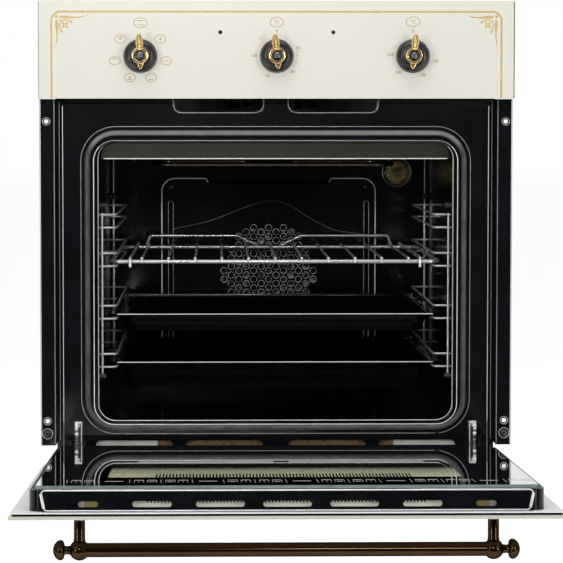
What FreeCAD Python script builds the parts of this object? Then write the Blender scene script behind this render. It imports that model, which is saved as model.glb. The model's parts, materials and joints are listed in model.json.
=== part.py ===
import FreeCAD, Part
import math
import os

import Sketcher

# A built-in electric oven with its door let down, in millimetres.
# X runs to the right, Y into the cabinet, Z up. The origin is the middle of the
# front edge of the base, and y = 0 is the face of the front frame.

# Driving sizes

SIZES = {
    # Front and casing
    "front_width": 595.0,
    "front_height": 595.0,
    "panel_height": 122.0,
    "panel_depth": 20.0,
    "panel_sheet": 1.2,
    "flange_wide": 17.5,
    "casing_depth": 515.0,
    "casing_drop": 10.0,
    "sheet": 1.0,
    "fold": 12.0,
    "flange_step": 18.0,
    "flange_sheet": 1.5,
    "flange_bottom": 35.0,
    "flange_return": 25.0,
    "panel_gap": 0.5,
    "seat_gap": 0.3,
    "weld_gap": 0.05,
    "running_gap": 0.05,
    # Holes and screws of the flanges
    "fixing_inset": 8.5,
    "fixing_low": 66.0,
    "fixing_drop": 28.5,
    "fixing_radius": 2.75,
    "screw_head": 4.5,
    "screw_head_tall": 2.4,
    "screw_crown": 2.8,
    "screw_edge": 1.2,
    "flange_screw_height": 50.0,
    # Front frame
    "frame_bottom": 12.0,
    "frame_overlap": 13.0,
    "frame_rise": 4.0,
    "frame_sheet": 1.2,
    "frame_margin": 7.8,
    "frame_low_margin": 8.0,
    "frame_corner": 8.0,
    "opening_gap": 5.0,
    "opening_low": 59.0,
    "opening_rise": 1.0,
    "opening_corner": 26.0,
    "top_vent_near": 15.0,
    "top_vent_far": 129.5,
    "top_vent_drop": 17.0,
    "top_vent_tall": 16.0,
    "low_vent_clear": 22.0,
    "low_vent_near": 16.5,
    "low_vent_low": 25.0,
    "low_vent_high": 38.5,
    "vent_corner": 6.0,
    "gasket_out": 16.0,
    "gasket_low": 47.0,
    "gasket_rise": 18.0,
    "gasket_corner": 44.0,
    "gasket_band": 10.5,
    "gasket_bead": 6.5,
    "gasket_foot": 2.0,
    "gasket_tall": 5.5,
    # Cavity
    "side_zone": 71.5,
    "cavity_low": 61.0,
    "top_zone": 54.0,
    "cavity_corner": 22.0,
    "cavity_depth": 409.0,
    "collar_wide": 13.0,
    "fan_drop": 17.5,
    "fan_cover_drop": 12.0,
    "fan_cover_side_gap": 71.0,
    "fan_cover_end_gap": 44.0,
    "fan_cover_depth": 29.0,
    "fan_cover_corner": 20.0,
    "fan_cover_screw_inset": 13.5,
    "fan_slot_inset": 14.0,
    "fan_slot_wide": 4.0,
    "fan_slot_end_gap": 35.0,
    "fan_outlet_half": 87.0,
    "fan_outlet_lip": 3.0,
    "fan_outlet_drop": 6.0,
    "fan_hole": 9.6,
    "fan_hole_pitch": 12.4,
    "fan_hole_columns": 6.0,
    "fan_hole_rise": 68.5,
    "fan_hole_spread": 146.0,
    "impeller_radius": 74.0,
    "impeller_deep": 18.0,
    "impeller_gap": 5.0,
    "blade_long": 24.0,
    "blade_count": 16.0,
    "shaft_radius": 4.0,
    "shaft_hole": 6.0,
    "fan_hub": 10.0,
    "motor_radius": 43.0,
    "motor_long": 52.0,
    "motor_neck": 15.0,
    "motor_neck_long": 22.0,
    "element_radius": 3.25,
    "ring_element_radius": 92.0,
    "grill_drop": 32.0,
    "grill_side_gap": 66.0,
    "grill_front": 150.0,
    "grill_rear": 350.0,
    "grill_lead": 22.0,
    "element_bend": 24.0,
    "heater_height": 52.0,
    "heater_side_gap": 61.0,
    "heater_front": 110.0,
    "shield_height": 22.0,
    "shield_side_gap": 4.0,
    "shield_setback": 14.0,
    "shield_lip": 8.0,
    "shield_corner": 18.0,
    "lamp_inset": 39.0,
    "lamp_drop": 49.0,
    "lamp_radius": 20.5,
    "lamp_deep": 18.0,
    "lamp_shoulder": 11.0,
    "lamp_crown": 13.5,
    "lamp_wall": 2.0,
    "bulb_radius": 9.0,
    "bulb_long": 14.0,
    "bulb_shoulder": 9.0,
    "bulb_crown": 5.0,
    "socket_radius": 17.0,
    "socket_long": 40.0,
    "probe_inset": 36.0,
    "probe_drop": 27.0,
    "probe_radius": 2.0,
    "probe_long": 130.0,
    "wool_thick": 30.0,
    "wool_drop": 23.0,
    "wool_side_low": 41.0,
    "wool_low": 23.0,
    "wool_low_half": 150.0,
    "wool_front": 70.0,
    # Side racks, shelf and trays
    "rung_gap": 16.6,
    "rung_radius": 2.0,
    "rung_reach": 22.5,
    "rung_front": 24.0,
    "rung_rear": 338.0,
    "upright_radius": 2.4,
    "upright_off": 4.5,
    "upright_over": 8.0,
    "stud_radius": 4.0,
    "stud_long": 9.0,
    "shelf_side_gap": 12.5,
    "shelf_front": 30.0,
    "shelf_rear": 355.0,
    "shelf_rail": 3.0,
    "shelf_wire": 2.0,
    "shelf_pitch": 34.2,
    "shelf_wires_each_side": 5.0,
    "shelf_corner": 14.0,
    "shelf_sink": 0.6,
    "shelf_overhang": 2.0,
    "stop_inset": 27.5,
    "stop_drop": 12.0,
    "fence_rise": 16.0,
    "fence_inset": 37.5,
    "fence_lean": 6.0,
    "fence_dip": 46.0,
    "fence_foot": 12.0,
    "tray_side_gap": 11.0,
    "tray_front": 32.0,
    "tray_rear": 360.0,
    "tray_corner": 16.0,
    "tray_rim": 16.0,
    "tray_sheet": 1.0,
    "tray_lip": 2.0,
    "tray_slope": 8.0,
    "shallow_tray": 22.0,
    "deep_tray": 34.0,
    # Controls
    "knob_across": 170.0,
    "knob_drop": 69.0,
    "knob_radius": 21.0,
    "knob_dome": 10.0,
    "knob_shoulder": 17.2,
    "knob_shoulder_tall": 6.5,
    "knob_edge": 4.0,
    "knob_crown": 11.0,
    "knob_ring": 10.0,
    "knob_ring_tall": 7.0,
    "knob_gem": 6.0,
    "knob_gem_tall": 4.0,
    "knob_gem_crown": 3.2,
    "knob_gem_edge": 2.0,
    "lever_long": 28.0,
    "lever_wide": 10.0,
    "lever_tip": 5.0,
    "lever_thick": 5.0,
    "tail_long": 17.0,
    "tail_wide": 7.0,
    "tail_tip": 9.0,
    "function_turn": -3.0,
    "timer_turn": -6.0,
    "thermostat_turn": 6.0,
    "spindle_radius": 3.0,
    "spindle_long": 26.0,
    "spindle_hole": 5.0,
    "switch_width": 46.0,
    "switch_deep": 34.0,
    "timer_width": 52.0,
    "timer_deep": 38.0,
    "thermostat_width": 40.0,
    "thermostat_deep": 30.0,
    "unit_corner": 4.0,
    "lens_across": 70.5,
    "lens_drop": 39.5,
    "lens_radius": 2.5,
    "lens_flange": 4.0,
    "lens_proud": 0.8,
    "chassis_reach": 40.0,
    # Door, in its closed place, and its hinges
    "door_open_angle": 87.4,
    "pivot_front": 23.0,
    "pivot_height": 20.0,
    "door_bottom": 4.0,
    "door_gap": 5.0,
    "door_proud": 2.5,
    "door_skin": 3.5,
    "door_spacer": 2.5,
    "spacer_inset": 15.0,
    "door_backing": 1.5,
    "backing_inset": 2.5,
    "outer_window_side": 151.5,
    "outer_window_low": 236.0,
    "outer_window_drop": 76.0,
    "outer_window_corner": 12.0,
    "outer_window_lap": 12.0,
    "door_face_corner": 3.0,
    "door_side_step": 26.0,
    "door_frame_low": 30.0,
    "door_frame_drop": 12.0,
    "door_rail": 14.0,
    "door_stile": 31.5,
    "door_stile_lean": 10.5,
    "door_stile_step": 200.0,
    "door_frame_corner": 10.0,
    "glass_sheet": 4.0,
    "glass_inset": 6.0,
    "glass_low": 36.0,
    "glass_drop": 18.0,
    "glass_corner": 6.0,
    "glass_clear": 6.0,
    "middle_glass_off": 8.0,
    "door_vent_small": 22.0,
    "door_vent_medium": 42.0,
    "door_vent_large": 52.0,
    "door_vent_tall": 6.0,
    "door_vent_pitch": 70.0,
    "hinge_inset": 46.5,
    "arm_width": 9.0,
    "arm_gap": 0.5,
    "arm_thick": 4.0,
    "arm_top": 58.0,
    "arm_low": 39.5,
    "arm_reach": 28.0,
    "arm_front_gap": 1.0,
    "arm_eye": 7.5,
    "hinge_wall": 2.0,
    "hinge_pin": 3.0,
    "hinge_low": 8.0,
    "hinge_high": 190.0,
    "hinge_back": 12.0,
    "hinge_slot_low": 37.0,
    "hinge_slot_high": 63.0,
    "hinge_slot_wide": 12.0,
    "receptacle_wall": 3.0,
    "receptacle_long": 40.0,
    "handle_inset": 74.0,
    "handle_off": 37.5,
    "handle_drop": 38.0,
    "handle_bar_radius": 7.75,
    "handle_ball": 11.25,
    "handle_post": 5.25,
    "handle_rose": 9.0,
    "handle_rose_tall": 3.0,
    "handle_rose_edge": 1.5,
    "handle_neck": 4.5,
    "handle_neck_long": 5.0,
    "finial_radius": 11.0,
    "finial_long": 12.5,
    "finial_crown": 4.5,
    "finial_back": 8.5,
    "finial_edge": 3.0,
    # Cooling fan, terminals and casing slots
    "blower_radius": 78.0,
    "blower_tall": 40.0,
    "blower_centre": 190.0,
    "blower_duct_half": 130.0,
    "blower_duct_front": 12.0,
    "blower_inlet": 36.0,
    "blower_wheel": 62.0,
    "blower_wheel_tall": 28.0,
    "blower_boss": 12.0,
    "terminal_inset": 78.5,
    "terminal_drop": 55.0,
    "terminal_wide": 64.0,
    "terminal_tall": 40.0,
    "terminal_deep": 24.0,
    "entry_radius": 7.0,
    "casing_slot_long": 60.0,
    "casing_slot_wide": 5.0,
    "casing_slot_pitch": 16.0,
    "casing_slot_count": 8.0,
    "casing_slot_drop": 125.0,
    "side_slot_near": 330.0,
    "back_slot_near": 60.0,
}

V = FreeCAD.Vector
doc = FreeCAD.newDocument("built_in_oven")
sheet = doc.addObject("Spreadsheet::Sheet", "sizes")
nodes = {}


class Size:
    """A length that holds its number and the sheet expression that gives it."""

    def __init__(self, text, number):
        self.text = text
        self.number = number

    def __add__(self, other):
        return Size(f"({self.text} + {text_of(other)})", self.number + number_of(other))

    def __radd__(self, other):
        return Size(f"({text_of(other)} + {self.text})", number_of(other) + self.number)

    def __sub__(self, other):
        return Size(f"({self.text} - {text_of(other)})", self.number - number_of(other))

    def __rsub__(self, other):
        return Size(f"({text_of(other)} - {self.text})", number_of(other) - self.number)

    def __mul__(self, other):
        return Size(f"({self.text} * {text_of(other)})", self.number * number_of(other))

    __rmul__ = __mul__

    def __truediv__(self, other):
        return Size(f"({self.text} / {text_of(other)})", self.number / number_of(other))

    def __neg__(self):
        return Size(f"(-{self.text})", -self.number)

    def __float__(self):
        return float(self.number)


class Named:
    """Holds one Size for each row of the sheet."""


def text_of(size):
    return size.text if isinstance(size, Size) else repr(float(size))


def number_of(size):
    return float(size)


def fill_sheet():
    named = Named()
    for row, (name, number) in enumerate(SIZES.items(), start=1):
        cell = f"A{row}"
        sheet.set(cell, repr(number))
        sheet.setAlias(cell, name)
        setattr(named, name, Size(f"sizes.{name}", number))
    doc.recompute()
    return named


d = fill_sheet()
zero = Size("0", 0.0)

# Sizes that follow from the driving ones

half_front = d.front_width / 2
half_body = half_front - d.flange_wide
half_casing = half_body - d.flange_sheet
half_case_in = half_casing - d.sheet
half_cavity = half_front - d.side_zone
half_cover = half_cavity - d.fan_cover_side_gap
half_shelf = half_cavity - d.shelf_side_gap
half_tray = half_cavity - d.tray_side_gap
half_door_frame = half_front - d.door_side_step
fixing_across = half_front - d.fixing_inset
hinge_across = half_front - d.hinge_inset
handle_across = half_front - d.handle_inset
lamp_across = half_cavity - d.lamp_inset
panel_low = d.front_height - d.panel_height
casing_high = d.front_height - d.casing_drop
top_under = casing_high - d.sheet
frame_top = panel_low + d.frame_overlap
cavity_high = panel_low - d.top_zone
opening_high = cavity_high + d.opening_rise
knob_height = d.front_height - d.knob_drop
lamp_height = cavity_high - d.lamp_drop
wool_top = panel_low - d.wool_drop
cavity_middle = (d.cavity_low + cavity_high) / 2
fan_height = cavity_middle - d.fan_drop
cover_low = d.cavity_low + d.fan_cover_end_gap - d.fan_cover_drop
cover_high = cavity_high - d.fan_cover_end_gap - d.fan_cover_drop
cavity_tall = cavity_high - d.cavity_low

# Rack levels as shares of the cavity's height

LEVEL_SHARES = (0.1925, 0.3656, 0.5539, 0.6922)
LEVELS = tuple(d.cavity_low + cavity_tall * share for share in LEVEL_SHARES)
level_one, level_two, level_three, level_four = LEVELS


# Tools for sketches, bodies and primitives


def bind(thing, path, size):
    thing.setExpression(path, text_of(size))


def new_body(name):
    body = doc.addObject("PartDesign::Body", name)
    body.Label = name
    return body


def sketch_on(body, axis, place):
    """A sketch square to an axis; u, v are Y, Z for x, X, Z for y, and X, Y for z."""
    role = {"x": "YZ_Plane", "y": "XZ_Plane", "z": "XY_Plane"}[axis]
    plane = [one for one in body.Origin.OriginFeatures if one.Role == role][0]
    sketch = body.newObject("Sketcher::SketchObject", body.Name + "_sketch")
    sketch.AttachmentSupport = (plane, [""])
    sketch.MapMode = "FlatFace"
    bind(sketch, "AttachmentOffset.Base.z", -place if axis == "y" else place)
    return sketch


def pinned(piece, end, u, v):
    """Rules that hold one point at u, v; each rule is a constraint and its size."""
    return [
        (("DistanceX", -1, 1, piece, end), u),
        (("DistanceY", -1, 1, piece, end), v),
    ]


def circle_rules(sketch, u, v, radius):
    centre = V(number_of(u), number_of(v), 0)
    piece = sketch.addGeometry(Part.Circle(centre, V(0, 0, 1), number_of(radius)), False)
    return pinned(piece, 3, u, v) + [(("Radius", piece), radius)]


def corner_arc(point, before, after, radius):
    """The arc that rounds a corner, and which of its ends meets the line before it."""
    half = before.getAngle(after) / 2
    centre = point + (before + after).normalize() * (radius / math.sin(half))
    first = point + before * (radius / math.tan(half)) - centre
    last = point + after * (radius / math.tan(half)) - centre
    start = math.atan2(first.y, first.x)
    stop = math.atan2(last.y, last.x)
    leftward = (stop - start) % (2 * math.pi) < math.pi
    if not leftward:
        start, stop = stop, start
    circle = Part.Circle(centre, V(0, 0, 1), radius)
    return Part.ArcOfCircle(circle, start, stop), (1 if leftward else 2)


def outline_rules(sketch, corners):
    """A closed outline through corners (u, v) or, where rounded, (u, v, radius)."""
    count = len(corners)
    points = [V(number_of(c[0]), number_of(c[1]), 0) for c in corners]
    radii = [number_of(c[2]) if len(c) > 2 else 0.0 for c in corners]
    before = [(points[i - 1] - points[i]).normalize() for i in range(count)]
    after = [(points[(i + 1) % count] - points[i]).normalize() for i in range(count)]
    run = [
        radii[i] / math.tan(before[i].getAngle(after[i]) / 2) if radii[i] else 0.0
        for i in range(count)
    ]
    lines = []
    for i in range(count):
        j = (i + 1) % count
        edge = Part.LineSegment(points[i] + after[i] * run[i], points[j] + before[j] * run[j])
        lines.append(sketch.addGeometry(edge, False))
    rules = []
    for i, corner in enumerate(corners):
        if not radii[i]:
            rules.append((("Coincident", lines[i - 1], 2, lines[i], 1), None))
            rules += pinned(lines[i], 1, corner[0], corner[1])
            continue
        arc, meets = corner_arc(points[i], before[i], after[i], radii[i])
        rounding = sketch.addGeometry(arc, False)
        mark = sketch.addGeometry(Part.Point(points[i]), True)
        rules += [
            (("Tangent", lines[i - 1], 2, rounding, meets), None),
            (("Tangent", lines[i], 1, rounding, 3 - meets), None),
            (("PointOnObject", mark, 1, lines[i - 1]), None),
            (("PointOnObject", mark, 1, lines[i]), None),
            (("Radius", rounding), corner[2]),
        ]
        rules += pinned(mark, 1, corner[0], corner[1])
    return rules


def draw(sketch, loops):
    """Each loop is a list of corners or a circle (u, v, radius)."""
    rules = []
    for loop in loops:
        if isinstance(loop, list):
            rules += outline_rules(sketch, loop)
        else:
            rules += circle_rules(sketch, *loop)
    constraints = []
    for where, size in rules:
        ending = () if size is None else (number_of(size),)
        constraints.append(Sketcher.Constraint(*where, *ending))
    for index, (_, size) in zip(sketch.addConstraint(constraints), rules):
        if size is not None:
            sketch.setExpression(f"Constraints[{index}]", text_of(size))


def pad(body, axis, low, high, *loops):
    sketch = sketch_on(body, axis, high if axis == "y" else low)
    draw(sketch, loops)
    feature = body.newObject("PartDesign::Pad", body.Name + "_pad")
    feature.Profile = sketch
    bind(feature, "Length", high - low)
    return feature


def cut_through(body, axis, place, *loops):
    """A pocket that goes right through the body, both ways from its sketch."""
    sketch = sketch_on(body, axis, place)
    draw(sketch, loops)
    feature = body.newObject("PartDesign::Pocket", body.Name + "_pocket")
    feature.Profile = sketch
    feature.Type = "ThroughAll"
    feature.SideType = "Symmetric"
    return feature


def in_a_row(body, feature, pitch, count):
    """Copies of a feature along the first axis of its sketch."""
    row = body.newObject("PartDesign::LinearPattern", body.Name + "_row")
    row.Originals = [feature]
    row.Direction = (feature.Profile[0], ["H_Axis"])
    bind(row, "Length", pitch * (count - 1))
    bind(row, "Occurrences", count)
    body.Tip = row


def on_both_sides(body, feature):
    """The same feature again on the other side of the middle plane."""
    plane = [one for one in body.Origin.OriginFeatures if one.Role == "YZ_Plane"][0]
    twin = body.newObject("PartDesign::Mirrored", body.Name + "_mirror")
    twin.Originals = [feature]
    twin.MirrorPlane = (plane, [""])
    body.Tip = twin


def loft(body, kind, low, low_loop, high, high_loop):
    sections = [sketch_on(body, "z", low), sketch_on(body, "z", high)]
    draw(sections[0], [low_loop])
    draw(sections[1], [high_loop])
    feature = body.newObject("PartDesign::" + kind, body.Name + "_loft")
    feature.Profile = sections[0]
    feature.Sections = [sections[1]]
    feature.Ruled = True
    return feature


def turned(name, profile, base=(0, 0, 0), along="x"):
    """A body turned about a line through base; the profile is (along, radius) corners."""
    body = new_body(name)
    sketch = sketch_on(body, "z", zero)
    draw(sketch, [profile])
    feature = body.newObject("PartDesign::Revolution", name + "_turn")
    feature.Profile = sketch
    feature.ReferenceAxis = (sketch, ["H_Axis"])
    feature.Angle = 360
    turn = {
        "x": FreeCAD.Rotation(),
        "y": FreeCAD.Rotation(V(0, 0, 1), 90),
        "-y": FreeCAD.Rotation(V(0, 0, 1), -90),
        "z": FreeCAD.Rotation(V(0, 1, 0), -90),
    }[along]
    body.Placement = FreeCAD.Placement(V(0, 0, 0), turn)
    put(body, *base)
    return body


def put(thing, x, y, z):
    for letter, size in zip("xyz", (x, y, z)):
        bind(thing, f"Placement.Base.{letter}", size)


def box(name, x, y, z):
    """A Part::Box between two values on each axis."""
    thing = doc.addObject("Part::Box", name)
    bind(thing, "Length", x[1] - x[0])
    bind(thing, "Width", y[1] - y[0])
    bind(thing, "Height", z[1] - z[0])
    put(thing, x[0], y[0], z[0])
    return thing


def rod(name, radius, length, base, along):
    """A Part::Cylinder that starts at base and runs along an axis."""
    thing = doc.addObject("Part::Cylinder", name)
    turn = {
        "x": FreeCAD.Rotation(V(0, 1, 0), 90),
        "y": FreeCAD.Rotation(V(1, 0, 0), -90),
        "z": FreeCAD.Rotation(),
    }[along]
    thing.Placement = FreeCAD.Placement(V(0, 0, 0), turn)
    bind(thing, "Radius", radius)
    bind(thing, "Height", length)
    put(thing, *base)
    return thing


def fused(name, pieces):
    thing = doc.addObject("Part::MultiFuse", name)
    thing.Shapes = pieces
    return thing


def cut(name, base, tool):
    thing = doc.addObject("Part::Cut", name)
    thing.Base = base
    thing.Tool = tool
    return thing


def group(name, pieces):
    thing = doc.addObject("Part::Compound", name)
    thing.Links = pieces
    return thing


def shaped(name, shape):
    """A feature whose shape is made in code, for bent wire."""
    thing = doc.addObject("Part::Feature", name)
    thing.Shape = shape
    return thing


def node(name, thing):
    thing.Label = name
    nodes[name] = thing
    return thing


def rounded(u_low, u_high, v_low, v_high, radius):
    return [
        (u_low, v_low, radius),
        (u_high, v_low, radius),
        (u_high, v_high, radius),
        (u_low, v_high, radius),
    ]


def plain(u_low, u_high, v_low, v_high):
    return [(u_low, v_low), (u_high, v_low), (u_high, v_high), (u_low, v_high)]


def slot(u_low, u_high, v_low, v_high, across):
    """A slot with full round ends; across is its narrow width."""
    return rounded(u_low, u_high, v_low, v_high, across / 2 - d.weld_gap)


# Tools for bent wire


def eased(points, bend):
    """The same route with each corner bent in three short steps."""
    route = [points[0]]
    for before, corner, after in zip(points, points[1:], points[2:]):
        back = (before - corner).normalize()
        on = (after - corner).normalize()
        half = back.getAngle(on) / 2
        middle = corner + (back + on).normalize() * (bend / math.sin(half) - bend)
        route.append(corner + back * (bend / math.tan(half)))
        route.append(middle)
        route.append(corner + on * (bend / math.tan(half)))
    return route + [points[-1]]


def mitred_wire(points, radius, sides=8):
    """A wire with sharp corners and a section of a few flat sides."""
    heading = (points[1] - points[0]).normalize()
    across = heading.cross(V(0, 0, 1))
    if across.Length < 0.5:
        across = V(1, 0, 0)
    across.normalize()
    ring = []
    for k in range(sides):
        turn = FreeCAD.Rotation(heading, 360 / sides * (k + 0.5))
        ring.append(points[0] + turn.multVec(across) * (radius / math.cos(math.pi / sides)))
    section = Part.makePolygon(ring + ring[:1])
    path = Part.makePolygon(points)
    return path.makePipeShell([section], True, False, 1)


# Places that several pieces share

panel_back = -d.flange_step
panel_face = panel_back - d.panel_depth
chassis_back = panel_back + d.sheet
frame_back = d.frame_rise + d.frame_sheet
cavity_back_face = d.cavity_depth + d.sheet
cover_face = d.cavity_depth - d.fan_cover_depth
terminal_place = (half_casing - d.terminal_inset, d.front_height - d.terminal_drop)


def cooling_slots(body, axis, place, start, low):
    """A row of upright cooling slots through a casing sheet."""
    loop = plain(start, start + d.casing_slot_wide, low, low + d.casing_slot_long)
    first = cut_through(body, axis, place, loop)
    in_a_row(body, first, d.casing_slot_pitch, d.casing_slot_count)
    return first


def casing():
    base = new_body("casing_base")
    pad(base, "z", zero, d.sheet, plain(-half_casing, half_casing, zero, d.casing_depth))
    lip_low = plain(-half_case_in, half_case_in, frame_back, frame_back + d.sheet)
    pad(base, "z", d.sheet, d.frame_bottom + d.fold, lip_low)
    node("casing_base", base)
    for side, name in ((-1, "casing_left_side"), (1, "casing_right_side")):
        wall = new_body(name)
        inner = side * half_case_in
        outer = side * half_casing
        low = d.sheet
        front_edge = frame_back
        face = plain(front_edge, d.casing_depth - d.sheet, low, top_under)
        skin = sorted((inner, outer), key=number_of)
        pad(wall, "x", *skin, face)
        folded = inner - side * d.fold
        edge = plain(inner, folded, front_edge + d.fold, d.casing_depth - d.fold)
        pad(wall, "z", low, low + d.sheet, edge)
        pad(wall, "z", top_under - d.sheet, top_under, edge)
        cooling_slots(wall, "x", inner, d.side_slot_near, d.front_height - d.casing_slot_drop)
        node(name, wall)
    top = new_body("casing_top")
    top_face = plain(-half_casing, half_casing, frame_back, d.casing_depth)
    pad(top, "z", top_under, casing_high, top_face)
    row_half = d.casing_slot_pitch * (d.casing_slot_count - 1) / 2 + d.casing_slot_wide / 2
    cooling_slots(top, "z", top_under, -row_half, d.casing_depth - d.casing_slot_long * 2)
    node("casing_top", top)
    back = new_body("casing_back")
    back_face = plain(-half_casing, half_casing, d.sheet, top_under)
    entry = (*terminal_place, d.entry_radius)
    pad(back, "y", d.casing_depth - d.sheet, d.casing_depth, back_face, entry)
    slot_low = fan_height - d.casing_slot_long / 2
    cooling_slots(back, "y", d.casing_depth, d.back_slot_near, slot_low)
    cooling_slots(back, "y", d.casing_depth, -d.back_slot_near - 2 * row_half, slot_low)
    node("casing_back", back)


def front_frame():
    frame = new_body("front_frame")
    raised_half = half_casing - d.frame_margin
    raised_low = d.frame_bottom + d.frame_low_margin
    raised_high = frame_top - d.frame_margin
    raised = rounded(-raised_half, raised_half, raised_low, raised_high, d.frame_corner)
    wall = d.frame_sheet
    hollow = rounded(
        -raised_half + wall,
        raised_half - wall,
        raised_low + wall,
        raised_high - wall,
        d.frame_corner - wall,
    )
    half_open = half_cavity + d.opening_gap
    mouth = rounded(-half_open, half_open, d.opening_low, opening_high, d.opening_corner)
    pad(frame, "y", zero, d.frame_sheet, raised, mouth)
    pad(frame, "y", d.frame_sheet, d.frame_rise, raised, hollow)
    rim = plain(-half_casing, half_casing, d.frame_bottom, frame_top)
    pad(frame, "y", d.frame_rise, frame_back, rim, hollow)
    reach = d.hinge_slot_wide / 2
    top_vent_low = panel_low - d.top_vent_drop
    top_vent_high = top_vent_low + d.top_vent_tall
    vents = [
        rounded(d.top_vent_near, d.top_vent_far, top_vent_low, top_vent_high, d.vent_corner),
        plain(hinge_across - reach, hinge_across + reach, d.hinge_slot_low, d.hinge_slot_high),
    ]
    vent_length = (hinge_across - d.low_vent_clear) / 2 - d.low_vent_near
    for k in range(2):
        near = d.low_vent_near + (vent_length + d.low_vent_near) * k
        far = near + vent_length
        vents.append(rounded(near, far, d.low_vent_low, d.low_vent_high, d.vent_corner))
    on_both_sides(frame, cut_through(frame, "y", zero, *vents))
    node("front_frame", frame)


def mounting_flanges():
    for side, name in ((-1, "mounting_flange_left"), (1, "mounting_flange_right")):
        flange = new_body(name)
        root, turn, edge = (side * x for x in (half_casing, half_body, half_front))
        high = panel_low - d.panel_gap
        face = plain(root, edge, d.flange_bottom, high)
        holes = [
            (side * fixing_across, height, d.fixing_radius)
            for height in (d.fixing_low, panel_low - d.fixing_drop)
        ]
        pad(flange, "y", panel_back - d.flange_sheet, panel_back, face, *holes)
        pad(flange, "z", d.flange_bottom, high, plain(root, turn, panel_back, d.flange_return))
        node(name, flange)


def screws():
    """Pan heads: one on each flange and one in each corner of the fan cover."""
    pieces = []
    profile = [
        (zero, zero),
        (d.screw_head_tall, zero),
        (d.screw_head_tall, d.screw_crown),
        (d.screw_edge, d.screw_head),
        (zero, d.screw_head),
    ]
    flange_face = panel_back - d.flange_sheet
    places = [(side * fixing_across, flange_face, d.flange_screw_height) for side in (-1, 1)]
    reach = half_cover - d.fan_cover_screw_inset
    for side in (-1, 1):
        for height in (cover_low + d.fan_cover_screw_inset, cover_high - d.fan_cover_screw_inset):
            places.append((side * reach, cover_face, height))
    for place in places:
        pieces.append(turned("screw", profile, place, "-y"))
    node("screws", group("screws", pieces))


def gasket():
    body = new_body("door_gasket")
    half = half_cavity + d.opening_gap + d.gasket_out
    gasket_high = opening_high + d.gasket_rise

    def ring(inset):
        return rounded(
            -half + inset,
            half - inset,
            d.gasket_low + inset,
            gasket_high - inset,
            d.gasket_corner - inset,
        )

    bead_in = (d.gasket_band - d.gasket_bead) / 2
    pad(body, "y", -d.gasket_foot, zero, ring(zero), ring(d.gasket_band))
    pad(body, "y", -d.gasket_tall, -d.gasket_foot, ring(bead_in), ring(bead_in + d.gasket_bead))
    node("door_gasket", body)


def cavity_loop(out):
    """The cavity's rounded section, moved outwards."""
    return rounded(
        -half_cavity - out,
        half_cavity + out,
        d.cavity_low - out,
        cavity_high + out,
        d.cavity_corner + out,
    )


def cavity():
    wrapper = new_body("cavity_wrapper")
    collar_back = d.frame_sheet + d.sheet
    inside = cavity_loop(zero)
    pad(wrapper, "y", d.frame_sheet, collar_back, cavity_loop(d.collar_wide), inside)
    pad(wrapper, "y", collar_back, d.cavity_depth, cavity_loop(d.sheet), inside)
    node("cavity_wrapper", wrapper)
    back = new_body("cavity_back")
    shaft_hole = (zero, fan_height, d.shaft_hole)
    lamp_hole = (lamp_across, lamp_height, d.bulb_radius + d.lamp_wall)
    face = cavity_loop(d.sheet)
    pad(back, "y", d.cavity_depth, cavity_back_face, face, shaft_hole, lamp_hole)
    node("cavity_back", back)


def fan_holes(low, high):
    """Staggered columns of six-sided holes round the fan's centre, as cutting prisms."""
    columns = int(number_of(d.fan_hole_columns))
    pitch = number_of(d.fan_hole_pitch)
    step = pitch * math.cos(math.radians(30))
    reach = number_of(d.fan_hole) / 2
    rise = number_of(d.fan_hole_rise)
    run = V(0, number_of(high - low), 0)
    prisms = []
    for column in range(-columns, columns + 1):
        x = step * column
        rows = int(rise / pitch + 1)
        for row in range(-rows, rows + 1):
            up = pitch * (row + (0.5 if column % 2 == 0 else 0))
            if abs(up) > rise or 2 * abs(x) + abs(up) > number_of(d.fan_hole_spread):
                continue
            corners = []
            for k in range(7):
                turn = math.radians(60 * k)
                z = number_of(fan_height) + up + reach * math.sin(turn)
                corners.append(V(x + reach * math.cos(turn), number_of(low), z))
            prisms.append(Part.Face(Part.makePolygon(corners)).extrude(run))
    return shaped("fan_holes", Part.makeCompound(prisms))


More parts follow.
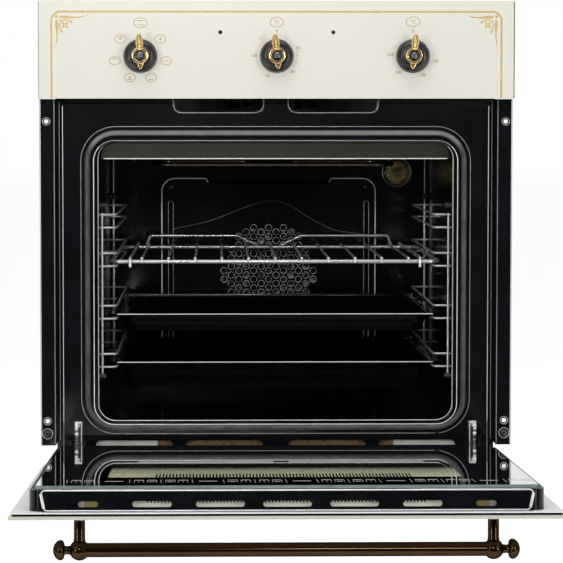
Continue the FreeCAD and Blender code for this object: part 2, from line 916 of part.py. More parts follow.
def fan_parts():
    half = half_cover
    cover = new_body("fan_cover_pan")
    face_back = cover_face + d.sheet

    def ring(inset):
        return rounded(
            -half + inset,
            half - inset,
            cover_low + inset,
            cover_high - inset,
            d.fan_cover_corner - inset,
        )

    pad(cover, "y", cover_face, face_back, ring(zero))
    pad(cover, "y", face_back, d.cavity_depth, ring(zero), ring(d.sheet))
    middle = half - d.fan_slot_inset
    reach = d.fan_slot_wide / 2
    air_slot = slot(
        middle - reach,
        middle + reach,
        cover_low + d.fan_slot_end_gap,
        cover_high - d.fan_slot_end_gap,
        d.fan_slot_wide,
    )
    on_both_sides(cover, cut_through(cover, "y", cover_face, air_slot))
    outlet = box(
        "fan_outlet",
        (-d.fan_outlet_half, d.fan_outlet_half),
        (face_back + d.fan_outlet_lip, d.cavity_depth + d.sheet),
        (cover_high - d.fan_outlet_drop, cover_high + d.sheet),
    )
    pan = cut("fan_cover_open", cover, outlet)
    holes = fan_holes(cover_face - d.sheet, face_back + d.sheet)
    node("fan_cover", cut("fan_cover", pan, holes))

    wheel_front = face_back + d.impeller_gap
    wheel_back = wheel_front + d.impeller_deep
    shaft_end = cavity_back_face + d.motor_neck_long + d.motor_long / 2
    disc = rod("fan_disc", d.impeller_radius, d.sheet, (zero, wheel_back, fan_height), "y")
    hub_long = wheel_back - wheel_front
    hub = rod("fan_hub", d.fan_hub, hub_long, (zero, wheel_front, fan_height), "y")
    axle_long = shaft_end - wheel_back
    axle = rod("fan_axle", d.shaft_radius, axle_long, (zero, wheel_back, fan_height), "y")
    blades = radial_blades(
        "fan_blade", d.blade_count, d.impeller_radius, d.blade_long, d.impeller_deep, d.sheet
    )
    place = V(0, number_of(wheel_front), number_of(fan_height))
    blades.Placement = FreeCAD.Placement(place, FreeCAD.Rotation(V(1, 0, 0), -90))
    node("fan_impeller", fused("fan_impeller", [disc, hub, axle, blades]))

    bore = d.shaft_radius + d.running_gap
    neck_end = d.motor_neck_long
    profile = [
        (zero, bore),
        (neck_end + d.motor_long, bore),
        (neck_end + d.motor_long, d.motor_radius),
        (neck_end, d.motor_radius),
        (neck_end, d.motor_neck),
        (zero, d.motor_neck),
    ]
    motor = turned("fan_motor", profile, (zero, cavity_back_face, fan_height), "y")
    node("fan_motor", motor)


def radial_blades(name, count, radius, length, tall, thick):
    """Straight blades round Z, from z = 0 up, ending at radius."""
    outer = number_of(radius)
    inner = outer - number_of(length)
    wide = number_of(thick)
    blades = []
    for k in range(int(number_of(count))):
        blade = Part.makeBox(outer - inner, wide, number_of(tall) + wide, V(inner, -wide / 2, 0))
        blade.rotate(V(0, 0, 0), V(0, 0, 1), 360 / number_of(count) * k)
        blades.append(blade)
    return shaped(name, Part.makeCompound(blades))


# Half the gap in the ring element, in degrees, and the straight runs that make it
RING_GAP = 7.5
RING_STEPS = 20


def heaters():
    radius = number_of(d.element_radius)
    bend = number_of(d.element_bend)
    lead = number_of(d.grill_lead)
    back = number_of(d.cavity_depth)

    def loop(half, front, rear, height):
        corners = [
            (-lead, back),
            (-lead, rear),
            (-half, rear),
            (-half, front),
            (half, front),
            (half, rear),
            (lead, rear),
            (lead, back),
        ]
        return [V(x, y, height) for x, y in corners]

    rear = number_of(d.grill_rear)
    grill_half = number_of(half_cavity - d.grill_side_gap)
    grill_height = number_of(cavity_high - d.grill_drop)
    grill = loop(grill_half, number_of(d.grill_front), rear, grill_height)
    node("grill_element", shaped("grill_element", mitred_wire(eased(grill, bend), radius)))
    base_half = number_of(half_cavity - d.heater_side_gap)
    base = loop(base_half, number_of(d.heater_front), rear, number_of(d.heater_height))
    node("base_element", shaped("base_element", mitred_wire(base, radius)))

    ring_y = number_of(d.cavity_depth - d.fan_cover_depth / 2)
    ring = []
    for k in range(RING_STEPS + 1):
        turn = math.radians(RING_GAP + (360 - 2 * RING_GAP) * k / RING_STEPS)
        x = number_of(d.ring_element_radius) * math.sin(turn)
        z = number_of(fan_height) - number_of(d.ring_element_radius) * math.cos(turn)
        ring.append(V(x, ring_y, z))
    ring.insert(0, V(ring[0].x, back, ring[0].z))
    ring.append(V(ring[-1].x, back, ring[-1].z))
    node("ring_element", shaped("ring_element", mitred_wire(ring, radius)))


def grill_shield():
    shield = new_body("grill_shield")
    high = cavity_high - d.seat_gap
    low = high - d.shield_height
    half = half_cavity - d.shield_side_gap
    face = [
        (-half, low),
        (half, low),
        (half, high, d.shield_corner),
        (-half, high, d.shield_corner),
    ]
    pad(shield, "y", d.shield_setback, d.shield_setback + d.sheet, face)
    lip_back = d.shield_setback + d.sheet + d.shield_lip
    lip = plain(-half, half, d.shield_setback + d.sheet, lip_back)
    pad(shield, "z", low, low + d.sheet, lip)
    node("grill_shield", shield)


def lamp():
    place = (lamp_across, d.cavity_depth, lamp_height)
    glass = [
        (zero, d.lamp_radius - d.lamp_wall),
        (zero, d.lamp_radius),
        (d.lamp_shoulder, d.lamp_radius),
        (d.lamp_deep, d.lamp_crown),
        (d.lamp_deep, zero),
        (d.lamp_deep - d.lamp_wall, zero),
        (d.lamp_deep - d.lamp_wall, d.lamp_crown - d.lamp_wall),
        (d.lamp_shoulder - d.lamp_wall, d.lamp_radius - d.lamp_wall),
    ]
    node("lamp_glass", turned("lamp_glass", glass, place, "-y"))
    bulb = [
        (-d.sheet, zero),
        (d.bulb_long, zero),
        (d.bulb_long, d.bulb_crown),
        (d.bulb_shoulder, d.bulb_radius),
        (-d.sheet, d.bulb_radius),
    ]
    node("lamp_bulb", turned("lamp_bulb", bulb, place, "-y"))
    socket_place = (lamp_across, cavity_back_face, lamp_height)
    socket = [
        (zero, zero),
        (d.socket_long, zero),
        (d.socket_long, d.socket_radius / 2),
        (d.socket_long / 2, d.socket_radius / 2),
        (d.socket_long / 2, d.socket_radius),
        (zero, d.socket_radius),
    ]
    node("lamp_socket", turned("lamp_socket", socket, socket_place, "y"))


def wool():
    body = new_body("insulation")
    out = half_cavity + d.sheet + d.seat_gap
    side = out + d.wool_thick
    outer = [
        (-side, d.wool_side_low),
        (-d.wool_low_half, d.wool_side_low),
        (-d.wool_low_half, d.wool_low),
        (d.wool_low_half, d.wool_low),
        (d.wool_low_half, d.wool_side_low),
        (side, d.wool_side_low),
        (side, wool_top),
        (-side, wool_top),
    ]
    under = d.heater_height - d.element_radius - d.seat_gap
    over = cavity_high + d.sheet + d.seat_gap
    pad(body, "y", d.wool_front, d.cavity_depth, outer, plain(-out, out, under, over))
    node("insulation", body)


# Side racks, shelf and trays



def side_racks():
    wall = number_of(half_cavity - d.seat_gap)
    reach = number_of(half_cavity - d.rung_reach)
    front = number_of(d.rung_front)
    rear = number_of(d.rung_rear)
    clear = d.rung_radius + d.upright_radius + d.weld_gap
    low = level_one - d.upright_over
    high = level_four + d.rung_gap + d.upright_over
    studs = []
    for side, name in ((-1, "side_rack_left"), (1, "side_rack_right")):
        pieces = []
        for level in LEVELS:
            for height in (level, level + d.rung_gap):
                z = number_of(height)
                route = [
                    V(side * wall, front, z),
                    V(side * reach, front, z),
                    V(side * reach, rear, z),
                    V(side * wall, rear, z),
                ]
                pieces.append(shaped("rung", mitred_wire(route, number_of(d.rung_radius))))
        for y in (d.rung_front - clear, d.rung_rear + clear):
            x = side * (half_cavity - d.upright_off)
            pieces.append(rod("upright", d.upright_radius, high - low, (x, y, low), "z"))
            stud_x = half_cavity - d.stud_long if side > 0 else -half_cavity
            for z in (low - d.stud_radius - d.weld_gap, high + d.stud_radius + d.weld_gap):
                studs.append(rod("stud", d.stud_radius, d.stud_long, (stud_x, y, z), "x"))
        node(name, group(name, pieces))
    node("rack_studs", group("rack_studs", studs))


def wire_shelf():
    rail = number_of(d.shelf_rail)
    half = number_of(half_shelf) - rail
    front = number_of(d.shelf_front) + rail
    rear = number_of(d.shelf_rear) - rail
    height = level_three + d.rung_radius + d.seat_gap + d.shelf_rail
    z = number_of(height)
    loop = [
        V(0, front, z),
        V(half, front, z),
        V(half, rear, z),
        V(-half, rear, z),
        V(-half, front, z),
        V(0, front, z),
    ]
    frame = shaped("shelf_frame", mitred_wire(eased(loop, number_of(d.shelf_corner)), rail))
    wires = []
    wire_z = height + d.shelf_rail + d.shelf_wire - d.shelf_sink
    start = d.shelf_front - d.shelf_overhang
    stretch = d.shelf_rear - start
    each_side = int(number_of(d.shelf_wires_each_side))
    for k in range(-each_side, each_side + 1):
        wires.append(rod("shelf_wire", d.shelf_wire, stretch, (d.shelf_pitch * k, start, wire_z), "y"))
    node("wire_rack", fused("wire_rack", [frame] + wires))

    clear = d.shelf_wire + d.shelf_rail + d.weld_gap
    fence_y = number_of(d.shelf_rear - d.shelf_rail + clear)
    top = number_of(height + d.fence_rise)
    ends = number_of(half_shelf - d.fence_inset)
    lean = number_of(d.fence_lean)
    dip = number_of(d.fence_dip)
    foot = number_of(d.fence_foot)
    route = [
        V(-ends, fence_y, z),
        V(-ends + lean, fence_y, top),
        V(-dip, fence_y, top),
        V(-foot, fence_y, z),
        V(foot, fence_y, z),
        V(dip, fence_y, top),
        V(ends - lean, fence_y, top),
        V(ends, fence_y, z),
    ]
    pieces = [shaped("fence", mitred_wire(route, number_of(d.shelf_wire)))]
    stop_z = number_of(height + d.shelf_rail + d.shelf_wire + d.weld_gap)
    stop_y = number_of(d.shelf_front - d.shelf_wire - d.seat_gap)
    for side in (-1, 1):
        x = side * number_of(half_shelf - d.stop_inset)
        hook = [
            V(x, number_of(d.shelf_rear - d.shelf_rail), stop_z),
            V(x, stop_y, stop_z),
            V(x, stop_y, stop_z - number_of(d.stop_drop)),
        ]
        pieces.append(shaped("stop", mitred_wire(hook, number_of(d.shelf_wire))))
    node("rack_fence", group("rack_fence", pieces))


def tray(name, level, depth):
    body = new_body(name)
    rim_low = level + d.rung_radius + d.seat_gap
    rim_high = rim_low + d.tray_sheet
    floor = rim_high - depth

    def loop(inset, corner):
        side = half_tray - inset
        return rounded(-side, side, d.tray_front + inset, d.tray_rear - inset, corner)

    mouth = d.tray_rim
    foot = d.tray_rim + d.tray_slope
    wall = d.tray_sheet
    corner = d.tray_corner
    loft(body, "AdditiveLoft", floor, loop(foot, corner), rim_high, loop(mouth, corner))
    pad(body, "z", rim_low, rim_high, loop(zero, corner))
    edge = loop(wall, corner - wall)
    pad(body, "z", rim_high, rim_high + d.tray_lip, loop(zero, corner), edge)
    inner_foot = loop(foot + wall, corner - wall)
    inner_mouth = loop(mouth + wall, corner - wall)
    loft(body, "SubtractiveLoft", floor + wall, inner_foot, rim_high, inner_mouth)
    node(name, body)


# Controls

KNOBS = (
    ("function", -d.knob_across, d.function_turn),
    ("timer", zero, d.timer_turn),
    ("thermostat", d.knob_across, d.thermostat_turn),
)


def control_panel():
    panel = new_body("control_panel")
    wall = d.panel_sheet
    inner_face = panel_face + wall
    face = plain(-half_front, half_front, panel_low, d.front_height)
    inside = plain(
        -half_front + wall, half_front - wall, panel_low + wall, d.front_height - wall
    )
    pad(panel, "y", inner_face, panel_back, face, inside)
    spindles = [(x, knob_height, d.spindle_hole) for _, x, _ in KNOBS]
    lens_hole = d.lens_radius + d.running_gap
    lens_height = d.front_height - d.lens_drop
    lenses = [(side * d.lens_across, lens_height, lens_hole) for side in (-1, 1)]
    pad(panel, "y", panel_face, inner_face, face, *spindles, *lenses)
    node("control_panel", panel)

    chassis = new_body("control_chassis")
    back = plain(-half_front, half_front, panel_low + d.panel_gap, d.front_height)
    pad(chassis, "y", panel_back, chassis_back, back, *spindles)
    shelf = plain(-half_case_in, half_case_in, chassis_back, d.chassis_reach)
    pad(chassis, "z", top_under - 2 * d.sheet, top_under - d.sheet, shelf)
    foot = plain(-half_case_in, half_case_in, chassis_back, frame_back)
    pad(chassis, "z", frame_top, frame_top + d.sheet, foot)
    cheek_low = frame_top + d.sheet
    cheek_high = top_under - 2 * d.sheet
    for side in (-1, 1):
        cheek = plain(side * half_case_in, side * (half_case_in - d.sheet), chassis_back, frame_back)
        pad(chassis, "z", cheek_low, cheek_high, cheek)
    node("control_chassis", chassis)

    lens = [
        (zero, zero),
        (2 * wall + d.lens_proud, zero),
        (2 * wall + d.lens_proud, d.lens_radius - d.lens_proud),
        (2 * wall, d.lens_radius),
        (wall, d.lens_radius),
        (wall, d.lens_flange),
        (zero, d.lens_flange),
    ]
    pieces = [
        turned("lens", lens, (side * d.lens_across, inner_face + wall, lens_height), "-y")
        for side in (-1, 1)
    ]
    node("indicator_lenses", group("indicator_lenses", pieces))


def control_units():
    """The switch, timer and thermostat behind the panel, each bored for its spindle."""
    widths = (d.switch_width, d.timer_width, d.thermostat_width)
    depths = (d.switch_deep, d.timer_deep, d.thermostat_deep)
    names = ("selector_switch", "timer_unit", "thermostat_unit")
    for name, (_, x, _), width, deep in zip(names, KNOBS, widths, depths):
        unit = new_body(name)
        half = width / 2
        outline = rounded(x - half, x + half, knob_height - half, knob_height + half, d.unit_corner)
        bore = (x, knob_height, d.spindle_radius + d.running_gap)
        pad(unit, "y", chassis_back, chassis_back + deep, outline, bore)
        node(name, unit)
    probe_across = half_cavity - d.probe_inset
    probe_base = (-probe_across, d.cavity_depth - d.probe_long, cavity_high - d.probe_drop)
    node("thermostat_probe", rod("thermostat_probe", d.probe_radius, d.probe_long, probe_base, "y"))


def knobs():
    skirt = panel_face - d.seat_gap
    tall = d.knob_edge + d.knob_dome
    crown = skirt - tall
    spindle_end = d.panel_depth + d.sheet + d.spindle_long
    for name, x, turn in KNOBS:
        place = (x, skirt, knob_height)
        dome = [
            (-spindle_end, zero),
            (tall, zero),
            (tall, d.knob_crown),
            (d.knob_edge + d.knob_shoulder_tall, d.knob_shoulder),
            (d.knob_edge, d.knob_radius),
            (zero, d.knob_radius),
            (zero, d.spindle_radius),
            (-spindle_end, d.spindle_radius),
        ]
        node(f"knob_{name}_base", turned(f"knob_{name}_base", dome, place, "-y"))
        lever = new_body(f"knob_{name}_pointer")
        ring = (zero, zero, d.knob_ring)
        hole = (zero, zero, d.knob_gem + d.running_gap)
        pad(lever, "y", -d.knob_ring_tall, zero, ring, hole)
        side = math.sqrt(3) / 2
        blade = [
            (-d.lever_wide / 2, d.knob_ring * side),
            (d.lever_wide / 2, d.knob_ring * side),
            (d.lever_tip / 2, d.lever_long, d.lever_tip / 2 - d.weld_gap),
            (-d.lever_tip / 2, d.lever_long, d.lever_tip / 2 - d.weld_gap),
        ]
        pad(lever, "y", -d.lever_thick, zero, blade)
        tail = [
            (-d.tail_tip / 2, -d.tail_long, d.tail_tip / 3),
            (d.tail_tip / 2, -d.tail_long, d.tail_tip / 3),
            (d.tail_wide / 2, -d.knob_ring * side),
            (-d.tail_wide / 2, -d.knob_ring * side),
        ]
        pad(lever, "y", -d.lever_thick, zero, tail)
        spin = FreeCAD.Rotation(V(0, 1, 0), number_of(turn))
        lever.Placement = FreeCAD.Placement(V(0, 0, 0), spin)
        put(lever, x, crown, knob_height)
        node(f"knob_{name}_pointer", lever)
        gem_tall = d.knob_ring_tall + d.knob_gem_tall
        gem = [
            (zero, zero),
            (gem_tall, zero),
            (gem_tall, d.knob_gem_crown),
            (gem_tall - d.knob_gem_edge, d.knob_gem),
            (zero, d.knob_gem),
        ]
        node(f"knob_{name}_gem", turned(f"knob_{name}_gem", gem, (x, crown, knob_height), "-y"))


# Door and hinges

pivot = V(0, -number_of(d.pivot_front), number_of(d.pivot_height))
let_down = FreeCAD.Placement(
    V(0, 0, 0), FreeCAD.Rotation(V(1, 0, 0), number_of(d.door_open_angle)), pivot
)
door_face = panel_face - d.door_proud
spacer_face = door_face + d.door_skin
backing_face = spacer_face + d.door_spacer
door_inside = backing_face + d.door_backing
door_high = panel_low - d.door_gap
glass_face = -d.glass_clear
glass_front = glass_face - d.glass_sheet
frame_high = door_high - d.door_frame_drop


def on_door(name, thing):
    """Turn a piece made in the closed place down with the door."""
    thing.Placement = let_down.multiply(thing.Placement)
    node(name, thing)


def door_leaf():
    panel = new_body("door_outer_panel")
    half_window = half_front - d.outer_window_side
    window_low = d.outer_window_low
    window_high = door_high - d.outer_window_drop
    window = rounded(-half_window, half_window, window_low, window_high, d.outer_window_corner)
    face = rounded(-half_front, half_front, d.door_bottom, door_high, d.door_face_corner)
    pad(panel, "y", door_face, spacer_face, face, window)

    def layer(inset):
        return plain(
            -half_front + inset, half_front - inset, d.door_bottom + inset, door_high - inset
        )

    pad(panel, "y", spacer_face, backing_face, layer(d.spacer_inset), window)
    pad(panel, "y", backing_face, door_inside, layer(d.backing_inset), window)
    on_door("door_outer_panel", panel)

    lap = d.outer_window_lap
    outer = new_body("door_outer_window")
    outer_loop = rounded(
        -half_window - lap, half_window + lap, window_low - lap, window_high + lap, lap
    )
    pad(outer, "y", door_inside, door_inside + d.glass_sheet, outer_loop)
    on_door("door_outer_window", outer)

    frame = new_body("door_frame")
    low = d.door_frame_low
    step = d.door_stile_step
    outer = half_door_frame
    lower_in = outer - d.door_stile_lean
    upper_in = outer - d.door_stile
    rail_low = frame_high - d.door_rail
    outline = [
        (-outer, low),
        (-lower_in, low),
        (-lower_in, step),
        (-upper_in, step),
        (-upper_in, rail_low),
        (upper_in, rail_low),
        (upper_in, step),
        (lower_in, step),
        (lower_in, low),
        (outer, low),
        (outer, frame_high, d.door_frame_corner),
        (-outer, frame_high, d.door_frame_corner),
    ]
    pad(frame, "y", door_inside, glass_front, outline)
    middle = (door_inside + glass_front) / 2
    reach = d.door_vent_tall / 2
    widths = (d.door_vent_large, d.door_vent_large, d.door_vent_medium, d.door_vent_small)
    vents = []
    for k, width in enumerate(widths):
        centre = d.door_vent_pitch * k
        vents.append(
            slot(
                centre - width / 2,
                centre + width / 2,
                middle - reach,
                middle + reach,
                d.door_vent_tall,
            )
        )
    cut_through(frame, "z", frame_high, vents[0])
    on_both_sides(frame, cut_through(frame, "z", frame_high, *vents[1:]))
    on_door("door_frame", frame)

    half_channel = d.arm_width / 2 + d.arm_gap + d.hinge_wall
    rail_half = hinge_across - half_channel
    rail = new_body("door_bottom_rail")
    rail_face = plain(-rail_half, rail_half, d.glass_low, d.glass_low + d.door_rail)
    pad(rail, "y", door_inside, glass_front, rail_face)
    on_door("door_bottom_rail", rail)

    half_glass = half_door_frame - d.glass_inset
    glass_high = door_high - d.glass_drop
    inner = new_body("door_inner_glass")
    sheet_loop = rounded(-half_glass, half_glass, d.glass_low, glass_high, d.glass_corner)
    pad(inner, "y", glass_front, glass_face, sheet_loop)
    on_door("door_inner_glass", inner)

    half_middle = upper_in - d.seat_gap
    middle_low = d.glass_low + d.door_rail + d.seat_gap
    middle_back = glass_front - d.middle_glass_off
    pane = new_body("door_middle_glass")
    pane_face = plain(-half_middle, half_middle, middle_low, rail_low - d.seat_gap)
    pad(pane, "y", middle_back - d.glass_sheet, middle_back, pane_face)
    on_door("door_middle_glass", pane)


def door_hinges():
    half_arm = d.arm_width / 2
    half_slot = half_arm + d.arm_gap
    half_channel = half_slot + d.hinge_wall
    channels = []
    arms = []
    receptacles = []
    front = -(d.arm_thick + d.arm_front_gap)
    eye_low = d.pivot_height - d.arm_eye
    eye_high = d.pivot_height + d.arm_eye
    eye_front = -d.pivot_front - d.arm_eye
    eye_back = -d.pivot_front + d.arm_eye
    eye_round = d.arm_eye - d.arm_gap
    for side in (-1, 1):
        x = side * hinge_across
        shell = box(
            "hinge_shell",
            (x - half_channel, x + half_channel),
            (door_inside, -d.hinge_back),
            (d.hinge_low, d.hinge_high),
        )
        hollow = box(
            "hinge_hollow",
            (x - half_slot, x + half_slot),
            (door_inside + d.hinge_wall, d.hinge_back + d.hinge_wall),
            (-d.hinge_low, d.hinge_high - d.hinge_wall),
        )
        opened = cut("hinge_channel", shell, hollow)
        pin_base = (x - half_channel, -d.pivot_front, d.pivot_height)
        pin = rod("hinge_pin", d.hinge_pin, 2 * half_channel, pin_base, "x")
        channels.append(fused("hinge_body", [opened, pin]))

        arm = new_body("hinge_arm")
        outline = [
            (d.arm_reach, d.arm_top),
            (front, d.arm_top, d.arm_thick),
            (front, d.glass_low - d.arm_front_gap * 2),
            (eye_back, eye_high),
            (eye_front, eye_high, eye_round),
            (eye_front, eye_low, eye_round),
            (eye_back - d.arm_thick / 2, eye_low),
            (-d.arm_front_gap, d.pivot_height + d.arm_eye),
            (-d.arm_front_gap, d.arm_low),
            (d.arm_reach, d.arm_low),
        ]
        bore = (-d.pivot_front, d.pivot_height, d.hinge_pin + d.running_gap)
        pad(arm, "x", x - half_arm, x + half_arm, outline, bore)
        arms.append(arm)

        gap = half_arm + d.seat_gap
        wide = gap + d.receptacle_wall
        low = d.arm_low - d.seat_gap
        high = d.arm_top + d.seat_gap
        sleeve = new_body("hinge_sleeve")
        around = plain(x - wide, x + wide, low - d.receptacle_wall, high + d.receptacle_wall)
        inside = plain(x - gap, x + gap, low, high)
        pad(sleeve, "y", d.frame_sheet, d.frame_sheet + d.receptacle_long, around, inside)
        receptacles.append(sleeve)
    node("hinge_arms", group("hinge_arms", arms))
    node("hinge_receptacles", group("hinge_receptacles", receptacles))
    on_door("door_hinge_bodies", group("door_hinge_bodies", channels))


def door_handle():
    axis_y = door_face - d.handle_off
    height = door_high - d.handle_drop
    ball = d.handle_ball
    posts = []
    for side in (-1, 1):
        x = side * handle_across
        profile = [
            (zero, zero),
            (d.handle_off, zero),
            (d.handle_off, d.handle_post),
            (d.handle_rose_tall, d.handle_post),
            (d.handle_rose_edge, d.handle_rose),
            (zero, d.handle_rose),
        ]
        stem = turned("handle_stem", profile, (x, door_face, height), "-y")
        seat = doc.addObject("Part::Sphere", "handle_seat")
        bind(seat, "Radius", ball + d.weld_gap)
        put(seat, x, axis_y, height)
        posts.append(cut("handle_post", stem, seat))
    on_door("handle_posts", group("handle_posts", posts))

    pieces = []
    bar_base = (-handle_across, axis_y, height)
    pieces.append(rod("handle_tube", d.handle_bar_radius, 2 * handle_across, bar_base, "x"))
    neck_end = ball + d.handle_neck_long
    tip = neck_end + d.finial_long
    for side in (-1, 1):
        knuckle = doc.addObject("Part::Sphere", "handle_ball")
        bind(knuckle, "Radius", ball)
        put(knuckle, side * handle_across, axis_y, height)
        pieces.append(knuckle)
        profile = [
            (zero, zero),
            (side * tip, zero),
            (side * tip, d.finial_crown),
            (side * (tip - d.finial_edge), d.finial_back),
            (side * (neck_end + d.finial_edge), d.finial_radius),
            (side * neck_end, d.finial_back),
            (side * neck_end, d.handle_neck),
            (zero, d.handle_neck),
        ]
        pieces.append(turned("handle_finial", profile, (side * handle_across, axis_y, height), "x"))
    on_door("handle_bar", fused("handle_bar", pieces))


# Cooling fan and terminals


def cooling_fan():
    floor = wool_top + d.seat_gap
    high = floor + d.blower_tall
    wall = d.sheet
    housing = new_body("cooling_blower_housing")
    centre = d.blower_centre
    radius = d.blower_radius

    def duct(inset):
        half = d.blower_duct_half - inset
        reach = radius - inset
        front = d.blower_duct_front + inset
        return [
            (-half, front),
            (half, front),
            (reach, centre - radius / 2),
            (reach, centre + reach, reach / 2),
            (-reach, centre + reach, reach / 2),
            (-reach, centre - radius / 2),
        ]

    pad(housing, "z", floor, floor + wall, duct(zero))
    boss_bore = (zero, centre, d.spindle_radius + d.running_gap)
    boss = (zero, centre, d.blower_boss)
    boss_high = floor + wall + d.blower_tall / 4
    pad(housing, "z", floor + wall, boss_high, boss, boss_bore)
    pad(housing, "z", floor + wall, high, duct(zero), duct(wall))
    inlet = (zero, centre, d.blower_inlet)
    pad(housing, "z", high, high + wall, duct(zero), inlet)
    half = d.blower_duct_half - wall
    mouth = box(
        "blower_mouth",
        (-half, half),
        (zero, d.blower_duct_front + 2 * wall),
        (floor + wall, high),
    )
    node("cooling_blower_housing", cut("cooling_blower_housing", housing, mouth))

    wheel_low = boss_high + d.seat_gap
    disc = rod("wheel_disc", d.blower_wheel, wall, (zero, centre, wheel_low), "z")
    axle_low = floor + 2 * wall
    axle_long = wheel_low - axle_low + wall
    axle = rod("wheel_axle", d.spindle_radius, axle_long, (zero, centre, axle_low), "z")
    tall = d.blower_wheel_tall - d.blower_tall / 4
    blades = radial_blades(
        "wheel_blade", d.blade_count, d.blower_wheel, d.blower_wheel / 4, tall, wall
    )
    blades.Placement.Base = V(0, number_of(centre), number_of(wheel_low))
    node("cooling_impeller", fused("cooling_impeller", [disc, axle, blades]))


def terminals():
    block = new_body("terminal_block")
    half = d.terminal_wide / 2
    rise = d.terminal_tall / 2
    across, height = terminal_place
    outline = rounded(
        across - half,
        across + half,
        height - rise,
        height + rise,
        d.unit_corner,
    )
    entry = (across, height, d.entry_radius)
    pad(block, "y", d.casing_depth, d.casing_depth + d.terminal_deep, outline, entry)
    node("terminal_block", block)


def check_and_write():
    doc.recompute()
    for thing in doc.Objects:
        if {"Invalid", "Error"} & set(thing.State):
            raise RuntimeError(f"{thing.Name} failed: {thing.State}")
    for name, thing in nodes.items():
        shape = thing.Shape
        if shape.isNull() or not shape.isValid() or not shape.Solids:
            raise RuntimeError(f"{name} has no valid solid")
    os.makedirs("parts", exist_ok=True)
    for name, thing in nodes.items():
        thing.Shape.exportStep(f"parts/{name}.step")


casing()
front_frame()
mounting_flanges()
screws()
gasket()
cavity()
fan_parts()
heaters()
grill_shield()
lamp()
wool()
side_racks()
wire_shelf()
tray("tray_upper", level_two, d.shallow_tray)
tray("tray_lower", level_one, d.deep_tray)
control_panel()
control_units()
knobs()
door_leaf()
door_hinges()
door_handle()
cooling_fan()
terminals()
check_and_write()
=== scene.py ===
"""The dressed model of a built-in oven with its door let down."""
import json
import math

import bmesh
import bpy
from mathutils import Matrix, Vector

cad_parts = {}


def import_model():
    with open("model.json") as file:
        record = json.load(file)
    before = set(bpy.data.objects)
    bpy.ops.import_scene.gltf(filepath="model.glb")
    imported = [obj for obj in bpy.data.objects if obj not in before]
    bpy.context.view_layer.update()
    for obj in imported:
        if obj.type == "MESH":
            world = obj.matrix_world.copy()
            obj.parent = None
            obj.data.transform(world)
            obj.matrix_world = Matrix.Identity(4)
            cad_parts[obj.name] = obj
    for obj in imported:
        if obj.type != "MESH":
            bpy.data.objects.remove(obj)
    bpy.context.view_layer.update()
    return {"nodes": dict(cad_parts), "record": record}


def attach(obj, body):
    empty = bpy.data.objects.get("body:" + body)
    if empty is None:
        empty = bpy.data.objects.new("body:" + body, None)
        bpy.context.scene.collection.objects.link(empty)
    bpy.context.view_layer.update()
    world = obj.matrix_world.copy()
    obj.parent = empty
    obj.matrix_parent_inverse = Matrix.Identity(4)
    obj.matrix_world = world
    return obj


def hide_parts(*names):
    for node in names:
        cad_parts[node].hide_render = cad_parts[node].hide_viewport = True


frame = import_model()

MM = 0.001
NODES = frame["nodes"]
RECORD = frame["record"]
BODIES = RECORD["behaviour"]["bodies"]
BODY_OF = {node: body for body, members in BODIES.items() for node in members}
SLOT_OF = {row["node"]: row["material_slot"] for row in RECORD["subparts"]}
SIDES = (-1, 1)

# Places of the oven in millimetres, the same as in the part

PANEL_FACE = -38.0
PANEL_TOP = 595.0
PANEL_BOTTOM = 473.0
HALF_FRONT = 297.5
KNOB_Z = 526.0
KNOBS = (("function", -170.0, -3.0), ("timer", 0.0, -6.0), ("thermostat", 170.0, 6.0))
FAN_Z = 222.5
CAVITY_BACK = 409.0
CASING_SIDE = 278.5
CASING_BACK = 515.0
FLANGE_FACE = -19.5
FLANGE_HOLE_X = 289.0
FLANGE_SCREW_Z = 50.0
PIVOT = Vector((0.0, -23.0, 20.0)) * MM
DOOR_ANGLE = math.radians(87.4)
LET_DOWN = (
    Matrix.Translation(PIVOT)
    @ Matrix.Rotation(DOOR_ANGLE, 4, "X")
    @ Matrix.Translation(-PIVOT)
)


# Materials


def set_inputs(node, values):
    for key, value in values.items():
        node.inputs[key.replace("_", " ")].default_value = value


class Tree:
    """The nodes of a material or a world, made by plain calls."""

    def __init__(self, owner, empty=False):
        owner.use_nodes = True
        self.nodes = owner.node_tree.nodes
        self.links = owner.node_tree.links
        if empty:
            self.nodes.clear()

    def node(self, kind, **inputs):
        made = self.nodes.new("ShaderNode" + kind)
        set_inputs(made, inputs)
        return made

    def link(self, start, end):
        self.links.new(start, end)

    def along(self, place, axis, start, stop, low=0.0, high=1.0):
        """A value that goes smoothly from low to high between two places on an axis."""
        split = self.node("SeparateXYZ")
        self.link(place, split.inputs["Vector"])
        made = self.node("MapRange", From_Min=start, From_Max=stop, To_Min=low, To_Max=high)
        made.interpolation_type = "SMOOTHSTEP"
        self.link(split.outputs[axis], made.inputs["Value"])
        return made.outputs["Result"]


